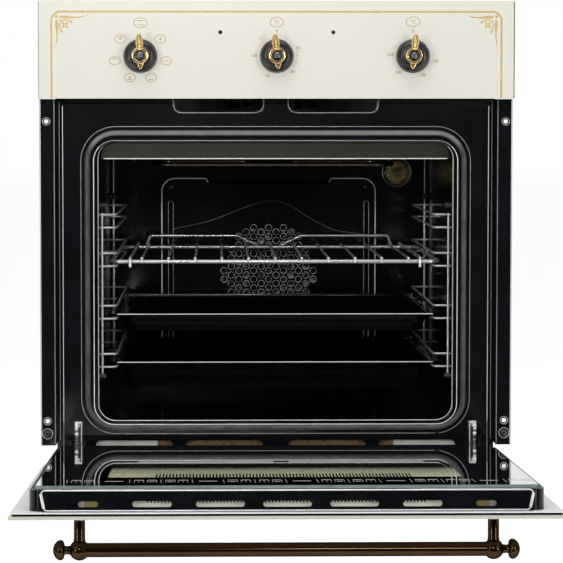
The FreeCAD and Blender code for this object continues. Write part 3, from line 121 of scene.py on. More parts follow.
class Maker(Tree):
    """One surface material, with noise for its colour, roughness and bump."""

    def __init__(self, name):
        self.material = bpy.data.materials.new(name)
        super().__init__(self.material)
        self.shader = self.nodes["Principled BSDF"]
        self.place = self.node("TexCoord").outputs["Object"]

    def set(self, **inputs):
        set_inputs(self.shader, inputs)

    def feed(self, output, socket):
        self.link(output, self.shader.inputs[socket])

    def noise(self, scale, detail=3.0, stretch=None):
        texture = self.node("TexNoise", Scale=scale, Detail=detail)
        source = self.place
        if stretch:
            mapping = self.node("Mapping", Scale=stretch)
            self.link(source, mapping.inputs["Vector"])
            source = mapping.outputs["Vector"]
        self.link(source, texture.inputs["Vector"])
        return texture.outputs["Fac"]

    def cells(self, scale):
        texture = self.node("TexVoronoi", Scale=scale)
        self.link(self.place, texture.inputs["Vector"])
        return texture.outputs["Color"]

    def mixed(self, share, first, second):
        """Two colour outputs mixed into the base colour."""
        made = self.node("Mix")
        made.data_type = "RGBA"
        self.link(share, made.inputs["Factor"])
        colours = [socket for socket in made.inputs if socket.type == "RGBA"]
        self.link(first, colours[0])
        self.link(second, colours[1])
        self.feed([socket for socket in made.outputs if socket.type == "RGBA"][0], "Base Color")

    def ramp(self, value, low, high, start=0.35, stop=0.65):
        made = self.node("ValToRGB")
        for element, place, colour in zip(made.color_ramp.elements, (start, stop), (low, high)):
            element.position = place
            element.color = (*colour, 1.0)
        self.link(value, made.inputs["Fac"])
        return made.outputs["Color"]

    def colour(self, value, *ramp):
        self.feed(self.ramp(value, *ramp), "Base Color")

    def rough(self, value, low, high):
        made = self.node("MapRange", From_Min=0.3, From_Max=0.7, To_Min=low, To_Max=high)
        self.link(value, made.inputs["Value"])
        self.feed(made.outputs["Result"], "Roughness")

    def bump(self, value, depth, strength):
        made = self.node("Bump", Strength=strength, Distance=depth)
        self.link(value, made.inputs["Height"])
        self.feed(made.outputs["Normal"], "Normal")

    def see_through(self, cover):
        self.set(Alpha=cover)
        self.material.surface_render_method = "BLENDED"


def surface(name, tones, rough, bump=None, cover=None, **fixed):
    """A material from three noises and fixed values.

    The tones are (scale, detail, low, high, start, stop), the roughness (scale, low, high) and
    the bump (scale, detail, depth, strength, stretch). With a cover, the rest is see-through.
    """
    make = Maker(name)
    scale, detail, *ramp = tones
    make.colour(make.noise(scale, detail), *ramp)
    scale, low, high = rough
    make.rough(make.noise(scale), low, high)
    if bump:
        scale, detail, depth, strength, *stretch = bump
        make.bump(make.noise(scale, detail, *stretch), depth, strength)
    make.set(**fixed)
    if cover:
        make.see_through(cover)
    return make.material


def grey(value):
    return (value, value, value)


def cream_enamel(name, low, high):
    bump = (420.0, 2.0, 0.00003, 0.25)
    fixed = {"Coat_Weight": 0.3, "Coat_Roughness": 0.12}
    return surface(name, (5.0, 3.0, low, high), (60.0, 0.31, 0.34), bump, **fixed)


BLACK_TONES = (24.0, 3.0, (0.0022, 0.0026, 0.0036), (0.004, 0.0048, 0.0066))


def black_enamel(name, low, high, wave, shine):
    rough = (14.0, low, high)
    return surface(name, BLACK_TONES, rough, (110.0, 2.0, wave, 0.5), Specular_IOR_Level=shine)


def galvanised():
    make = Maker("galvanised")
    make.colour(make.cells(140.0), (0.54, 0.55, 0.56), (0.62, 0.63, 0.64), 0.1, 0.9)
    make.rough(make.noise(40.0), 0.36, 0.46)
    make.bump(make.noise(300.0), 0.00002, 0.4)
    make.set(Metallic=1.0)
    return make.material


def bright_metal(name, low, high, rough_low, rough_high, scale=60.0, grain=0.0, metal=1.0):
    bump = (scale * 8, 3.0, 0.000015, grain) if grain else None
    rough = (scale * 3, rough_low, rough_high)
    return surface(name, (scale, 3.0, low, high), rough, bump, Metallic=metal)


def metal_with_painted_glints(name, scale, low, high, start, stop, metal):
    """Metal whose colour is bright in random patches and dull elsewhere: painted glints."""
    tones = (scale, 1.0, grey(low), grey(high), start, stop)
    return surface(name, tones, (120.0, 0.22, 0.3), Metallic=metal)


def plastic(name, low, high, rough=0.45):
    bump = (700.0, 3.0, 0.00004, 0.4)
    return surface(name, (50.0, 3.0, low, high), (150.0, rough - 0.06, rough + 0.06), bump)


def rubber():
    """Mottled seal rubber; painted light makes its top run paler."""
    make = Maker("seal_rubber")
    mottle = make.noise(45.0, 5.0)
    dark = make.ramp(mottle, (0.035, 0.036, 0.033), (0.085, 0.086, 0.079), 0.3, 0.7)
    # A paler copy of the same mottled rubber, mixed in along the top run: painted light.
    pale = make.ramp(mottle, (0.21, 0.209, 0.19), (0.27, 0.268, 0.25), 0.3, 0.7)
    make.mixed(make.along(make.place, "Z", 0.405, 0.425), dark, pale)
    make.rough(make.noise(80.0), 0.34, 0.5)
    make.bump(make.noise(900.0), 0.00008, 0.5)
    make.set(Sheen_Weight=0.25, Sheen_Roughness=0.4)
    return make.material


def sheet_glass(name, tint, cover):
    """Thin clear sheet: a little body colour, the rest see-through."""
    tones = (6.0, 3.0, tint, tuple(c * 1.1 for c in tint))
    return surface(name, tones, (20.0, 0.02, 0.05), cover=cover)


def window_glass():
    """The window: lit and shaded copies of one olive. Deep olive toward the hinge is painted shade and
    a painted reflection of the dark oven front; pale olive toward the handle is painted light.
    """
    make = Maker("window_glass")
    cloud = make.noise(6.0)
    shaded_tone = make.ramp(cloud, (0.012, 0.012, 0.003), (0.02, 0.02, 0.006))
    pale = make.ramp(cloud, (0.72, 0.72, 0.4), (0.8, 0.8, 0.46))
    # Painted shade toward the hinge, blending into painted light toward the handle.
    make.mixed(make.along(make.place, "Y", -0.292, -0.318), shaded_tone, pale)
    make.rough(make.noise(20.0), 0.02, 0.05)
    make.see_through(0.42)
    return make.material


CREAM = cream_enamel("cream_enamel", (0.768, 0.752, 0.662), (0.778, 0.762, 0.674))
# A darker copy of the cream for the door skin's edge faces: painted shade.
CREAM_PAINTED_SHADE = cream_enamel("cream_painted_shade", (0.545, 0.555, 0.465), (0.565, 0.575, 0.485))
BLACK = black_enamel("black_enamel", 0.1, 0.14, 0.000012, 0.5)
BACK_WALL = black_enamel("back_wall_enamel", 0.1, 0.16, 0.00004, 0.3)
FRAME_BLACK = black_enamel("frame_enamel", 0.13, 0.18, 0.00001, 0.28)
SPECKLED = surface(
    "speckled_enamel",
    (900.0, 1.0, (0.0014, 0.0014, 0.0016), grey(0.014), 0.62, 0.8),
    (30.0, 0.09, 0.2),
    (70.0, 2.0, 0.00012, 0.5),
    Specular_IOR_Level=0.35,
)
INK_GLASS = surface(
    "printed_glass",
    BLACK_TONES,
    (14.0, 0.015, 0.04),
    (110.0, 2.0, 0.00001, 0.5),
    Coat_Weight=1.0,
    Coat_Roughness=0.02,
    Coat_IOR=1.7,
)
GALVANISED = galvanised()
CHROME = bright_metal("chrome", (0.8, 0.8, 0.79), (0.86, 0.86, 0.85), 0.26, 0.3, 8.0, metal=0.75)
ZINC = bright_metal("zinc_steel", (0.66, 0.66, 0.65), (0.74, 0.74, 0.73), 0.26, 0.3, 8.0, metal=0.65)
# Pale steel for the bright lines round the door's near face: a painted highlight.
NEAR_FACE_HIGHLIGHT = bright_metal("near_face_painted_highlight", (0.8, 0.81, 0.82), (0.88, 0.89, 0.9), 0.3, 0.4, metal=0.6)
HEATER = bright_metal("heater_steel", (0.3, 0.25, 0.2), (0.4, 0.34, 0.28), 0.2, 0.24, 8.0)
# Pale metal: bright painted highlights on black enamel edges, tray rims and welds, and the bright
# metal of the hinge arms.
HIGHLIGHT_AND_BRIGHT_METAL = bright_metal("painted_highlight_and_bright_metal", (0.82, 0.82, 0.81), (0.88, 0.88, 0.87), 0.36, 0.42, metal=0.45)
# Mid-grey metal: dim painted highlights on black enamel edges, and plain grey metal parts such as the
# rack hangers, the lamp rim and the vent stops.
DIM_HIGHLIGHT_AND_GREY_METAL = bright_metal("painted_dim_highlight_and_grey_metal", grey(0.3), grey(0.38), 0.3, 0.42, metal=0.5)
DARK_STEEL = bright_metal("dark_steel", grey(0.05), (0.09, 0.09, 0.088), 0.28, 0.4, grain=0.4)
GOLD = bright_metal("gold", (0.84, 0.6, 0.24), (0.9, 0.67, 0.31), 0.17, 0.23, metal=0.9)
# The fan wheel and the punched rims of the fan cover get painted glints.
WHEEL = metal_with_painted_glints("wheel_steel_painted_glints", 70.0, 0.01, 0.8, 0.54, 0.68, 0.3)
PUNCHED = metal_with_painted_glints("punched_rim_painted_glints", 330.0, 0.12, 1.0, 0.36, 0.5, 0.0)
RUBBER = rubber()
PRINT = surface(
    "gold_print",
    (220.0, 3.0, (0.62, 0.41, 0.14), (0.7, 0.49, 0.19)),
    (300.0, 0.36, 0.5),
    (1500.0, 3.0, 0.00001, 0.3),
    Metallic=0.25,
)
SIGN = surface("sign_print", (220.0, 3.0, (0.47, 0.29, 0.075), (0.55, 0.35, 0.1)), (300.0, 0.36, 0.5))
PALE = surface("pale_print", (500.0, 3.0, (0.36, 0.37, 0.36), (0.52, 0.53, 0.51)), (200.0, 0.5, 0.6))
BRONZE = surface(
    "bronze",
    (40.0, 3.0, (0.034, 0.018, 0.0058), (0.048, 0.026, 0.0085), 0.3, 0.75),
    (60.0, 0.15, 0.2),
    (500.0, 3.0, 0.00001, 0.2),
    Metallic=1.0,
    Specular_Tint=(0.03, 0.02, 0.01, 1.0),
    Coat_Weight=0.12,
    Coat_Roughness=0.1,
)
GUNMETAL = surface(
    "gunmetal",
    (120.0, 3.0, (0.048, 0.045, 0.044), (0.07, 0.066, 0.064)),
    (260.0, 0.29, 0.36),
    (1400.0, 3.0, 0.00002, 0.4),
    Metallic=0.85,
)
GEM = surface(
    "gem", (150.0, 3.0, (0.15, 0.15, 0.155), (0.2, 0.2, 0.205)), (90.0, 0.26, 0.32), Metallic=1.0
)
DOOR_GLASS = sheet_glass("door_glass", (0.012, 0.014, 0.01), 0.6)
INNER_GLASS = sheet_glass("coated_glass", (0.05, 0.06, 0.05), 0.06)
WINDOW_GLASS = window_glass()
LAMP_GLASS = surface(
    "lamp_glass",
    (6.0, 3.0, (0.97, 0.94, 0.84), (0.9991, 0.9682, 0.8652)),
    (20.0, 0.02, 0.08),
    (260.0, 1.0, 0.0015, 0.9),
    Transmission_Weight=1.0,
    IOR=1.5,
)
WOOL = surface(
    "mineral_wool",
    (220.0, 6.0, (0.1, 0.055, 0.02), (0.3, 0.19, 0.085), 0.3, 0.7),
    (90.0, 0.85, 0.98),
    (380.0, 6.0, 0.002, 0.9, (1.0, 0.2, 1.0)),
)
SHIELD = surface(
    "shield_metal",
    (500.0, 4.0, (0.022, 0.02, 0.015), (0.055, 0.051, 0.039), 0.3, 0.75),
    (140.0, 0.3, 0.46),
    (700.0, 3.0, 0.00005, 0.5),
    Metallic=0.7,
)
OLIVE = plastic("olive_paint", (0.13, 0.105, 0.022), (0.19, 0.155, 0.04), 0.4)
UNIT = plastic("control_plastic", (0.66, 0.65, 0.61), (0.74, 0.73, 0.69))
DARK_PLASTIC = plastic("dark_plastic", grey(0.018), (0.035, 0.035, 0.034))
LENS = plastic("lens", (0.012, 0.004, 0.004), (0.03, 0.01, 0.01), 0.14)
DOOR_BACK = plastic("door_back_paint", (0.76, 0.765, 0.785), (0.8, 0.805, 0.825), 0.4)
LINING = plastic("door_lining_paint", (0.62, 0.635, 0.51), (0.68, 0.695, 0.57), 0.35)
# Dark grey for a strip laid on the door's back sheet: painted shade.
DOOR_SHADE_STRIP = plastic("door_painted_shade", (0.2, 0.2, 0.21), (0.27, 0.27, 0.28), 0.4)
BAND = plastic("pale_band", (0.34, 0.35, 0.335), (0.4, 0.41, 0.395), 0.5)
GLASS_EDGE = plastic("glass_edge", (0.19, 0.245, 0.21), (0.26, 0.32, 0.28), 0.2)
AIR_GUIDE = plastic("air_guide_zinc", (0.5, 0.54, 0.47), (0.6, 0.64, 0.57), 0.4)
LAMP_DISH = plastic("lamp_dish_paint", (0.4, 0.32, 0.08), (0.52, 0.43, 0.13), 0.3)

SLOT_MATERIALS = {
    "cream_enamel": CREAM,
    "black_enamel": BLACK,
    "galvanised": GALVANISED,
    "chrome_wire": CHROME,
    "zinc_steel": ZINC,
    "heater_steel": HEATER,
    "seal_rubber": RUBBER,
    "gold": GOLD,
    "gunmetal": GUNMETAL,
    "gem": GEM,
    "bronze": BRONZE,
    "door_glass": DOOR_GLASS,
    "lamp_glass": LAMP_GLASS,
    "mineral_wool": WOOL,
    "control_plastic": UNIT,
    "dark_plastic": DARK_PLASTIC,
    "lens": LENS,
}
NODE_MATERIALS = {
    "cavity_wrapper": SPECKLED,
    "cavity_back": BACK_WALL,
    "fan_cover": BACK_WALL,
    "tray_upper": SPECKLED,
    "tray_lower": SPECKLED,
    "grill_shield": SHIELD,
    "hinge_arms": DARK_STEEL,
    "hinge_receptacles": DARK_STEEL,
    "rack_studs": DARK_STEEL,
    "fan_impeller": WHEEL,
}


def material_of(node):
    return NODE_MATERIALS.get(node, SLOT_MATERIALS[SLOT_OF[node]])


for node_name, node_thing in NODES.items():
    node_thing.data.materials.clear()
    node_thing.data.materials.append(material_of(node_name))


# Tools for new pieces: meshes from points in millimetres


def plain_mesh(made):
    mesh = bpy.data.meshes.new("mesh")
    made.to_mesh(mesh)
    made.free()
    return mesh


def from_bmesh(made):
    bmesh.ops.recalc_face_normals(made, faces=made.faces)
    return plain_mesh(made)


def joined(meshes):
    """One mesh from several, which are used up."""
    made = bmesh.new()
    for mesh in meshes:
        made.from_mesh(mesh)
        bpy.data.meshes.remove(mesh)
    return plain_mesh(made)


def from_curve(curve):
    """The mesh of a curve, which is used up."""
    carrier = bpy.data.objects.new("carrier", curve)
    mesh = bpy.data.meshes.new_from_object(carrier)
    bpy.data.objects.remove(carrier)
    bpy.data.curves.remove(curve)
    return mesh


def piece(name, mesh, node=None, body=None, material=None, slot=None, turn=None, smooth=40.0):
    """Put a mesh, or a list as one, on a body as a piece; with a node it stands for that node."""
    if isinstance(mesh, list):
        mesh = joined(mesh)
    mesh.name = name
    thing = bpy.data.objects.new(name, mesh)
    bpy.context.scene.collection.objects.link(thing)
    if turn:
        mesh.transform(turn)
    mesh.materials.clear()
    mesh.materials.append(material or material_of(node))
    mesh.shade_smooth()
    mesh.set_sharp_from_angle(angle=math.radians(smooth))
    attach(thing, body or BODY_OF[node])
    if node:
        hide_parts(node)
    slot or SLOT_OF[node]
    return thing


def oven_piece(name, meshes, material, slot):
    return piece(name, meshes, body="oven_body", material=material, slot=slot)


def in_door(name, mesh, material, slot, node=None):
    """A piece drawn on the shut door and let down with it."""
    return piece(name, mesh, node, body="door", material=material, slot=slot, turn=LET_DOWN)


def rounded(thing, width, segments, angle=30.0):
    """A bevel on a piece's edges that are sharper than an angle."""
    rounding = thing.modifiers.new("rounding", "BEVEL")
    rounding.width = width * MM
    rounding.segments = segments
    rounding.limit_method = "ANGLE"
    rounding.angle_limit = math.radians(angle)
    return rounding


def solid(points, faces):
    made = bmesh.new()
    corners = [made.verts.new(Vector(p) * MM) for p in points]
    for face in faces:
        made.faces.new([corners[i] for i in face])
    return from_bmesh(made)


def bar_between(ends, section):
    """A straight bar between two x values, from the four (y, z) corners of its section."""
    corners = [(x, y, z) for x in ends for y, z in section]
    sides = [(0, 4, 5, 1), (1, 5, 6, 2), (2, 6, 7, 3), (3, 7, 4, 0)]
    return solid(corners, [(0, 1, 2, 3), (4, 7, 6, 5)] + sides)


def block(x, y, z):
    """A block between pairs of values."""
    return bar_between(x, ((y[0], z[0]), (y[0], z[1]), (y[1], z[1]), (y[1], z[0])))


AXES = {
    "x": ((1, 0, 0), (0, 1, 0), (0, 0, 1)),
    "-x": ((-1, 0, 0), (0, 0, 1), (0, 1, 0)),
    "y": ((0, 1, 0), (0, 0, 1), (1, 0, 0)),
    "-y": ((0, -1, 0), (1, 0, 0), (0, 0, 1)),
}


def lathe(profile, centre, along="-y", sides=48):
    """A turned mesh; the profile is (distance along the axis, radius) pairs."""
    axis, first, second = [Vector(v) for v in AXES[along]]
    base = Vector(centre) * MM
    made = bmesh.new()
    rings = []
    for distance, radius in profile:
        middle = base + axis * (distance * MM)
        ring = []
        for k in range(sides if radius else 1):
            turn = 2 * math.pi * k / sides
            spoke = first * math.cos(turn) + second * math.sin(turn)
            ring.append(made.verts.new(middle + spoke * (radius * MM)))
        rings.append(ring)
    for low, high in zip(rings, rings[1:]):
        for k in range(sides):
            after = (k + 1) % sides
            if len(low) > 1 and len(high) > 1:
                made.faces.new((low[k], low[after], high[after], high[k]))
            elif len(high) > 1:
                made.faces.new((low[0], high[k], high[after]))
            elif len(low) > 1:
                made.faces.new((low[k], low[after], high[0]))
    return from_bmesh(made)


def arc(x, z, radius, start, stop, steps):
    """Points of a circle's arc, with angles in degrees."""
    turns = [math.radians(start + (stop - start) * k / steps) for k in range(steps + 1)]
    return [(x + radius * math.cos(turn), z + radius * math.sin(turn)) for turn in turns]


def oval(x, z, half_wide, half_tall, steps=40):
    turns = [2 * math.pi * k / steps for k in range(steps + 1)]
    return [(x + half_wide * math.cos(turn), z + half_tall * math.sin(turn)) for turn in turns]


def rounded_loop(half, low, high, corner, steps=8, inset=0.0):
    """A rounded rectangle as (x, z) points, anticlockwise from the lower right."""
    across = half - corner
    bottom = low + corner
    top = high - corner
    centres = ((across, bottom, -90), (across, top, 0), (-across, top, 90), (-across, bottom, 180))
    points = []
    for x, z, start in centres:
        points += arc(x, z, corner - inset, start, start + 90, steps)
    return points


def at_y(loop, y):
    return [(x, y, z) for x, z in loop]


def mirrored(side, points):
    return [(side * x, z) for x, z in points]


def bent(points, bend, steps=6):
    """A route with its corners rounded."""
    points = [Vector(p) for p in points]
    route = [points[0]]
    for before, corner, after in zip(points, points[1:], points[2:]):
        back = (before - corner).normalized()
        on = (after - corner).normalized()
        half = back.angle(on) / 2
        middle = corner + (back + on).normalized() * (bend / math.sin(half))
        first = corner + back * (bend / math.tan(half)) - middle
        last = corner + on * (bend / math.tan(half)) - middle
        for k in range(steps + 1):
            route.append(middle + first.slerp(last, k / steps).normalized() * bend)
    return route + [points[-1]]


def smooth_line(points, steps=8):
    """A smooth line through control points, as a Catmull-Rom spline."""
    controls = [Vector(p) for p in points]
    controls = [2 * controls[0] - controls[1]] + controls + [2 * controls[-1] - controls[-2]]
    line = []
    for a, b, c, e in zip(controls, controls[1:], controls[2:], controls[3:]):
        for k in range(steps):
            t = k / steps
            even = 2 * b + (2 * a - 5 * b + 4 * c - e) * t**2
            odd = (c - a) * t + (3 * b - a - 3 * c + e) * t**3
            line.append(0.5 * (even + odd))
    return line + [controls[-2]]


def add_line(curve, points, closed):
    """A line of straight runs through points in metres."""
    line = curve.splines.new("POLY")
    line.points.add(len(points) - 1)
    for spot, point in zip(line.points, points):
        spot.co = (*point, 1.0)
    line.use_cyclic_u = closed


def wire(points, radius, closed=False, sides=3):
    """A round wire along points."""
    curve = bpy.data.curves.new("wire", "CURVE")
    curve.dimensions = "3D"
    curve.bevel_depth = radius * MM
    curve.bevel_resolution = sides
    curve.use_fill_caps = True
    add_line(curve, [Vector(p) * MM for p in points], closed)
    return from_curve(curve)


def upright(x, y, z):
    """Stands a flat mesh up, facing -Y, at a place."""
    return Matrix.Translation(Vector((x, y, z)) * MM) @ Matrix.Rotation(math.pi / 2, 4, "X")


def flat_sheet(loops, y, thick):
    """A flat upright sheet with holes; the first loop is its outline."""
    curve = bpy.data.curves.new("sheet", "CURVE")
    curve.dimensions = "2D"
    curve.fill_mode = "BOTH"
    curve.extrude = thick / 2 * MM
    for loop in loops:
        add_line(curve, [(x * MM, z * MM, 0.0) for x, z in loop], True)
    mesh = from_curve(curve)
    mesh.transform(upright(0, y + thick / 2, 0))
    return mesh


def ring_sweep(sections, capped=False):
    """Loops of equal length joined one to the next; each is a list of 3-D points."""
    made = bmesh.new()
    loops = [[made.verts.new(Vector(p) * MM) for p in loop] for loop in sections]
    for low, high in zip(loops, loops[1:]):
        for k in range(len(low)):
            after = (k + 1) % len(low)
            made.faces.new((low[k], low[after], high[after], high[k]))
    if capped:
        made.faces.new(loops[0])
        made.faces.new(loops[-1])
    return from_bmesh(made)


def ribbon(points, widths, low, high):
    """A flat stroke on an upright face: points are (x, z), between two y values."""
    points = [Vector(p) for p in points]
    count = len(points)
    if not isinstance(widths, list):
        widths = [widths] * count
    corners = []
    for i, point in enumerate(points):
        ahead = points[min(i + 1, count - 1)] - points[max(i - 1, 0)]
        side = Vector((-ahead.y, ahead.x)).normalized() * (widths[i] / 2)
        for y in (low, high):
            for spot in (point + side, point - side):
                corners.append((spot.x, y, spot.y))
    last = 4 * (count - 1)
    faces = [(0, 1, 3, 2), (last, last + 2, last + 3, last + 1)]
    for a in range(0, last, 4):
        b = a + 4
        faces.append((a + 2, a + 3, b + 3, b + 2))
        faces.append((a, b, b + 1, a + 1))
        faces.append((a, a + 2, b + 2, b))
        faces.append((a + 1, b + 1, b + 3, a + 3))
    return solid(corners, faces)


def strip(points, width, y, proud=0.35):
    """A narrow flat line that stands a little proud of an upright face."""
    return ribbon(points, width, y, y - proud)


def grid_faces(made, grid):
    for lower, upper in zip(grid, grid[1:]):
        for k in range(len(lower) - 1):
            made.faces.new((lower[k], lower[k + 1], upper[k + 1], upper[k]))


def ring_mesh(x, y, z, radius, thick, sides=28):
    section = oval(radius, 0.0, thick, thick, 8)
    return lathe([(along, out) for out, along in section], (x, y, z), "-y", sides)


def bead(centre, radius):
    ball = [(-radius, 0.0)]
    for j in range(1, 6):
        turn = math.pi * j / 6
        ball.append((-radius * math.cos(turn), radius * math.sin(turn)))
    return lathe(ball + [(radius, 0.0)], centre, "-y", 10)


# Casing and front

SOFTENED = (
    (0.4, 2, ("casing_base", "casing_left_side", "casing_right_side", "casing_top", "casing_back")),
    (1.3, 3, ("front_frame",)),
    (0.9, 3, ("mounting_flange_left", "mounting_flange_right")),
    (0.8, 3, ("control_panel",)),
    (0.4, 2, ("control_chassis",)),
    (1.0, 2, ("terminal_block",)),
    (0.5, 2, ("grill_shield",)),
    (0.45, 2, ("tray_upper", "tray_lower")),
)
SEAM_LOW = 24
SEAM_HIGH = 440
SIDE_SCREWS = ((40, SEAM_LOW), (260, SEAM_LOW), (480, SEAM_LOW), (40, SEAM_HIGH), (490, 250))
PRESSED_BEAD = 2.2


def softened(node, width, steps):
    """A copy of a node with its edges rounded, which stands for the node."""
    made = bmesh.new()
    made.from_mesh(NODES[node].data)
    bmesh.ops.remove_doubles(made, verts=made.verts, dist=1e-6)
    flat = math.radians(1.0)
    bmesh.ops.dissolve_limit(made, angle_limit=flat, verts=made.verts, edges=made.edges)
    thing = piece(node + "_soft", plain_mesh(made), node)
    rounded(thing, width, steps, 35.0).harden_normals = True


def casing_details():
    """Screws along the casing's seams and pressed stiffening beads on its sides and back."""
    cap = [(0.0, 4.2), (0.8, 4.1), (1.5, 3.4), (1.9, 2.2), (1.9, 1.3), (0.9, 1.0), (0.9, 0.0)]
    heads = []
    runs = []
    for side, along in ((-1, "-x"), (1, "x")):
        x = side * CASING_SIDE
        heads += [lathe(cap, (x, y, z), along, 20) for y, z in SIDE_SCREWS]
        runs += [[(x, 70.0, z), (x, 440.0, z)] for z in (120.0, 330.0)]
    for x in (-255, -90, 90, 255):
        heads += [lathe(cap, (x, CASING_BACK, z), "y", 20) for z in (SEAM_LOW, SEAM_HIGH)]
    for x in (-150.0, 150.0):
        runs.append([(x, CASING_BACK, 290.0), (x, CASING_BACK, 430.0)])
    oven_piece("casing_screws", heads, ZINC, "zinc_steel")
    beads = [wire(ends, PRESSED_BEAD, sides=4) for ends in runs]
    oven_piece("casing_beads", beads, GALVANISED, "galvanised")


for soft_width, soft_steps, soft_nodes in SOFTENED:
    for soft_node in soft_nodes:
        softened(soft_node, soft_width, soft_steps)
casing_details()


# Print on the control panel, and painted shade down its ends

INK_LOW = PANEL_FACE + 0.05
INK_HIGH = PANEL_FACE - 0.06
LINE_WIDE = 2.3
LINE_X = 280.7
LINE_Z = 581.0
LINE_CORNER = 11.0
LINE_FOOT = PANEL_BOTTOM + 0.8
PANEL_END = 296.7
SIGN_WIDE = 8.3
SIGN_TALL = 6.1
SMALL_SIGN = (6.8, 5.1)
FUNCTION_SIGNS = (
    (0.0, 41.2, SIGN_WIDE, SIGN_TALL, "top bottom"),
    (24.9, 21.1, *SMALL_SIGN, "fan"),
    (31.9, -6.1, *SMALL_SIGN, "drops"),
    (13.3, -27.1, *SMALL_SIGN, "bottom"),
    (-13.3, -27.1, *SMALL_SIGN, "fan bottom"),
    (-31.9, -6.1, *SMALL_SIGN, "top"),
    (-24.9, 21.1, *SMALL_SIGN, "fan top"),
)
TIMER_STOPS = (("30", 68.0), ("60", 136.0), ("90", 203.0), ("120", 271.0))
HEAT_STOPS = (("100", 104.0), ("150", 154.0), ("200", 219.0), ("250", 274.0))


def printed(name, meshes, material=PRINT):
    piece(name, meshes, body="oven_body", material=material, slot="gold", smooth=30.0)


def stroke(points, widths):
    return ribbon(points, widths, INK_LOW, INK_HIGH)


def border_line():
    across = LINE_X - LINE_CORNER
    up = LINE_Z - LINE_CORNER
    route = [(-LINE_X, LINE_FOOT)]
    route += arc(-across, up, LINE_CORNER, 180.0, 90.0, 8)
    route += arc(across, up, LINE_CORNER, 90.0, 0.0, 8)
    route.append((LINE_X, LINE_FOOT))
    printed("panel_border_line", [stroke(route, LINE_WIDE)])


def panel_end_shade():
    """Dark lines down the two ends of the panel: painted shade of its side edges."""
    lines = []
    for x, width in ((-PANEL_END, 0.5), (PANEL_END, 1.1)):
        lines.append(strip([(x, PANEL_BOTTOM + 0.6), (x, PANEL_TOP - 1.6)], width, PANEL_FACE, 0.1))
    oven_piece("panel_end_painted_shade", lines, DARK_PLASTIC, "dark_plastic")


def tapered(controls, widths):
    """A smooth stroke whose width runs through the given values."""
    line = smooth_line(controls)
    count = len(line) - 1
    found = []
    for i in range(count + 1):
        t = i / count * (len(widths) - 1)
        k = min(int(t), len(widths) - 2)
        found.append(widths[k] + (widths[k + 1] - widths[k]) * (t - k))
    return stroke(line, found)


def corner_scroll(side, name):
    """A traditional scroll in an upper corner: a dot, two leaves, two curls and a flower."""
    meshes = []

    def spot(u, v):
        return (side * (LINE_X - u), LINE_Z - v)

    def both(controls, widths):
        meshes.append(tapered([spot(u, v) for u, v in controls], widths))
        meshes.append(tapered([spot(v, u) for u, v in controls], widths))

    leaf = [(10.2, 6.4), (17.7, 6.9), (24.8, 7.1), (31.9, 7.2), (37.0, 6.3), (41.5, 5.0)]
    curl = [(10.6, 11.9), (15.9, 10.6), (20.4, 11.0), (23.5, 12.1), (25.9, 13.8)]
    both(leaf, [2.6, 4.0, 2.3, 1.5, 1.6, 0.5])
    both(curl, [0.7, 1.3, 1.4, 1.6, 2.8])
    both([(27.0, 10.6), (28.2, 10.6)], [1.1, 1.1])
    both([(44.4, 4.4), (45.8, 4.4)], [1.2, 1.2])
    meshes.append(tapered([spot(4.2, 5.9), spot(8.2, 5.9)], [2.4, 3.7, 2.4]))
    meshes.append(tapered([spot(12.9, 12.6), spot(14.2, 14.0)], [0.8, 1.0]))
    petals = zip(arc(17.2, 16.8, 0.75, 45, 315, 3), arc(17.2, 16.8, 4.6, 45, 315, 3))
    for near, far in petals:
        meshes.append(tapered([spot(*near), spot(*far)], [1.3, 3.3, 1.2]))
    printed(name, meshes)


def outline_oval(x, z, half_wide, half_tall):
    return stroke(oval(x, z, half_wide, half_tall), 0.8)


def bar(x, z, half):
    return stroke([(x - half, z), (x + half, z)], 0.85)


def rosette(x, z, size):
    """The usual sign for a fan: four small petals."""
    petals = zip(arc(x, z, 0.35, 0, 270, 3), arc(x, z, size, 0, 270, 3))
    return [tapered(ends, [0.5, 1.3, 0.6]) for ends in petals]


def function_signs():
    meshes = []
    for across, up, wide, tall, what in FUNCTION_SIGNS:
        x = KNOBS[0][1] + across
        z = KNOB_Z + up
        meshes.append(outline_oval(x, z, wide, tall))
        if "top" in what:
            meshes.append(bar(x, z + tall * 0.45, wide * 0.5))
        if "bottom" in what:
            meshes.append(bar(x, z - tall * 0.45, wide * 0.5))
        if "fan" in what:
            meshes += rosette(x, z, tall * 0.42)
        if "drops" in what:
            meshes += rosette(x + wide * 0.3, z + 0.4, 1.3)
            drop = [(x - 3.6, z + 1.2), (x - 2.2, z - 1.2), (x - 0.8, z + 0.4)]
            meshes.append(tapered(drop, [0.6, 0.6]))
    printed("panel_function_signs", meshes, SIGN)


def number(text, place, tall=4.0):
    """Plain digits of a dial, centred on a point."""
    curve = bpy.data.curves.new("digits", "FONT")
    curve.body = text
    curve.size = tall * 1.38 * MM
    curve.align_x = "CENTER"
    curve.align_y = "CENTER"
    curve.extrude = 0.05 * MM
    curve.offset = 0.09 * MM
    curve.resolution_u = 3
    mesh = from_curve(curve)
    mesh.transform(upright(place[0], PANEL_FACE, place[1]))
    return mesh


def on_dial(x, turn, wide, tall):
    """A point round a knob, turned clockwise from the top in degrees."""
    angle = math.radians(turn)
    return x + wide * math.sin(angle), KNOB_Z + tall * math.cos(angle)


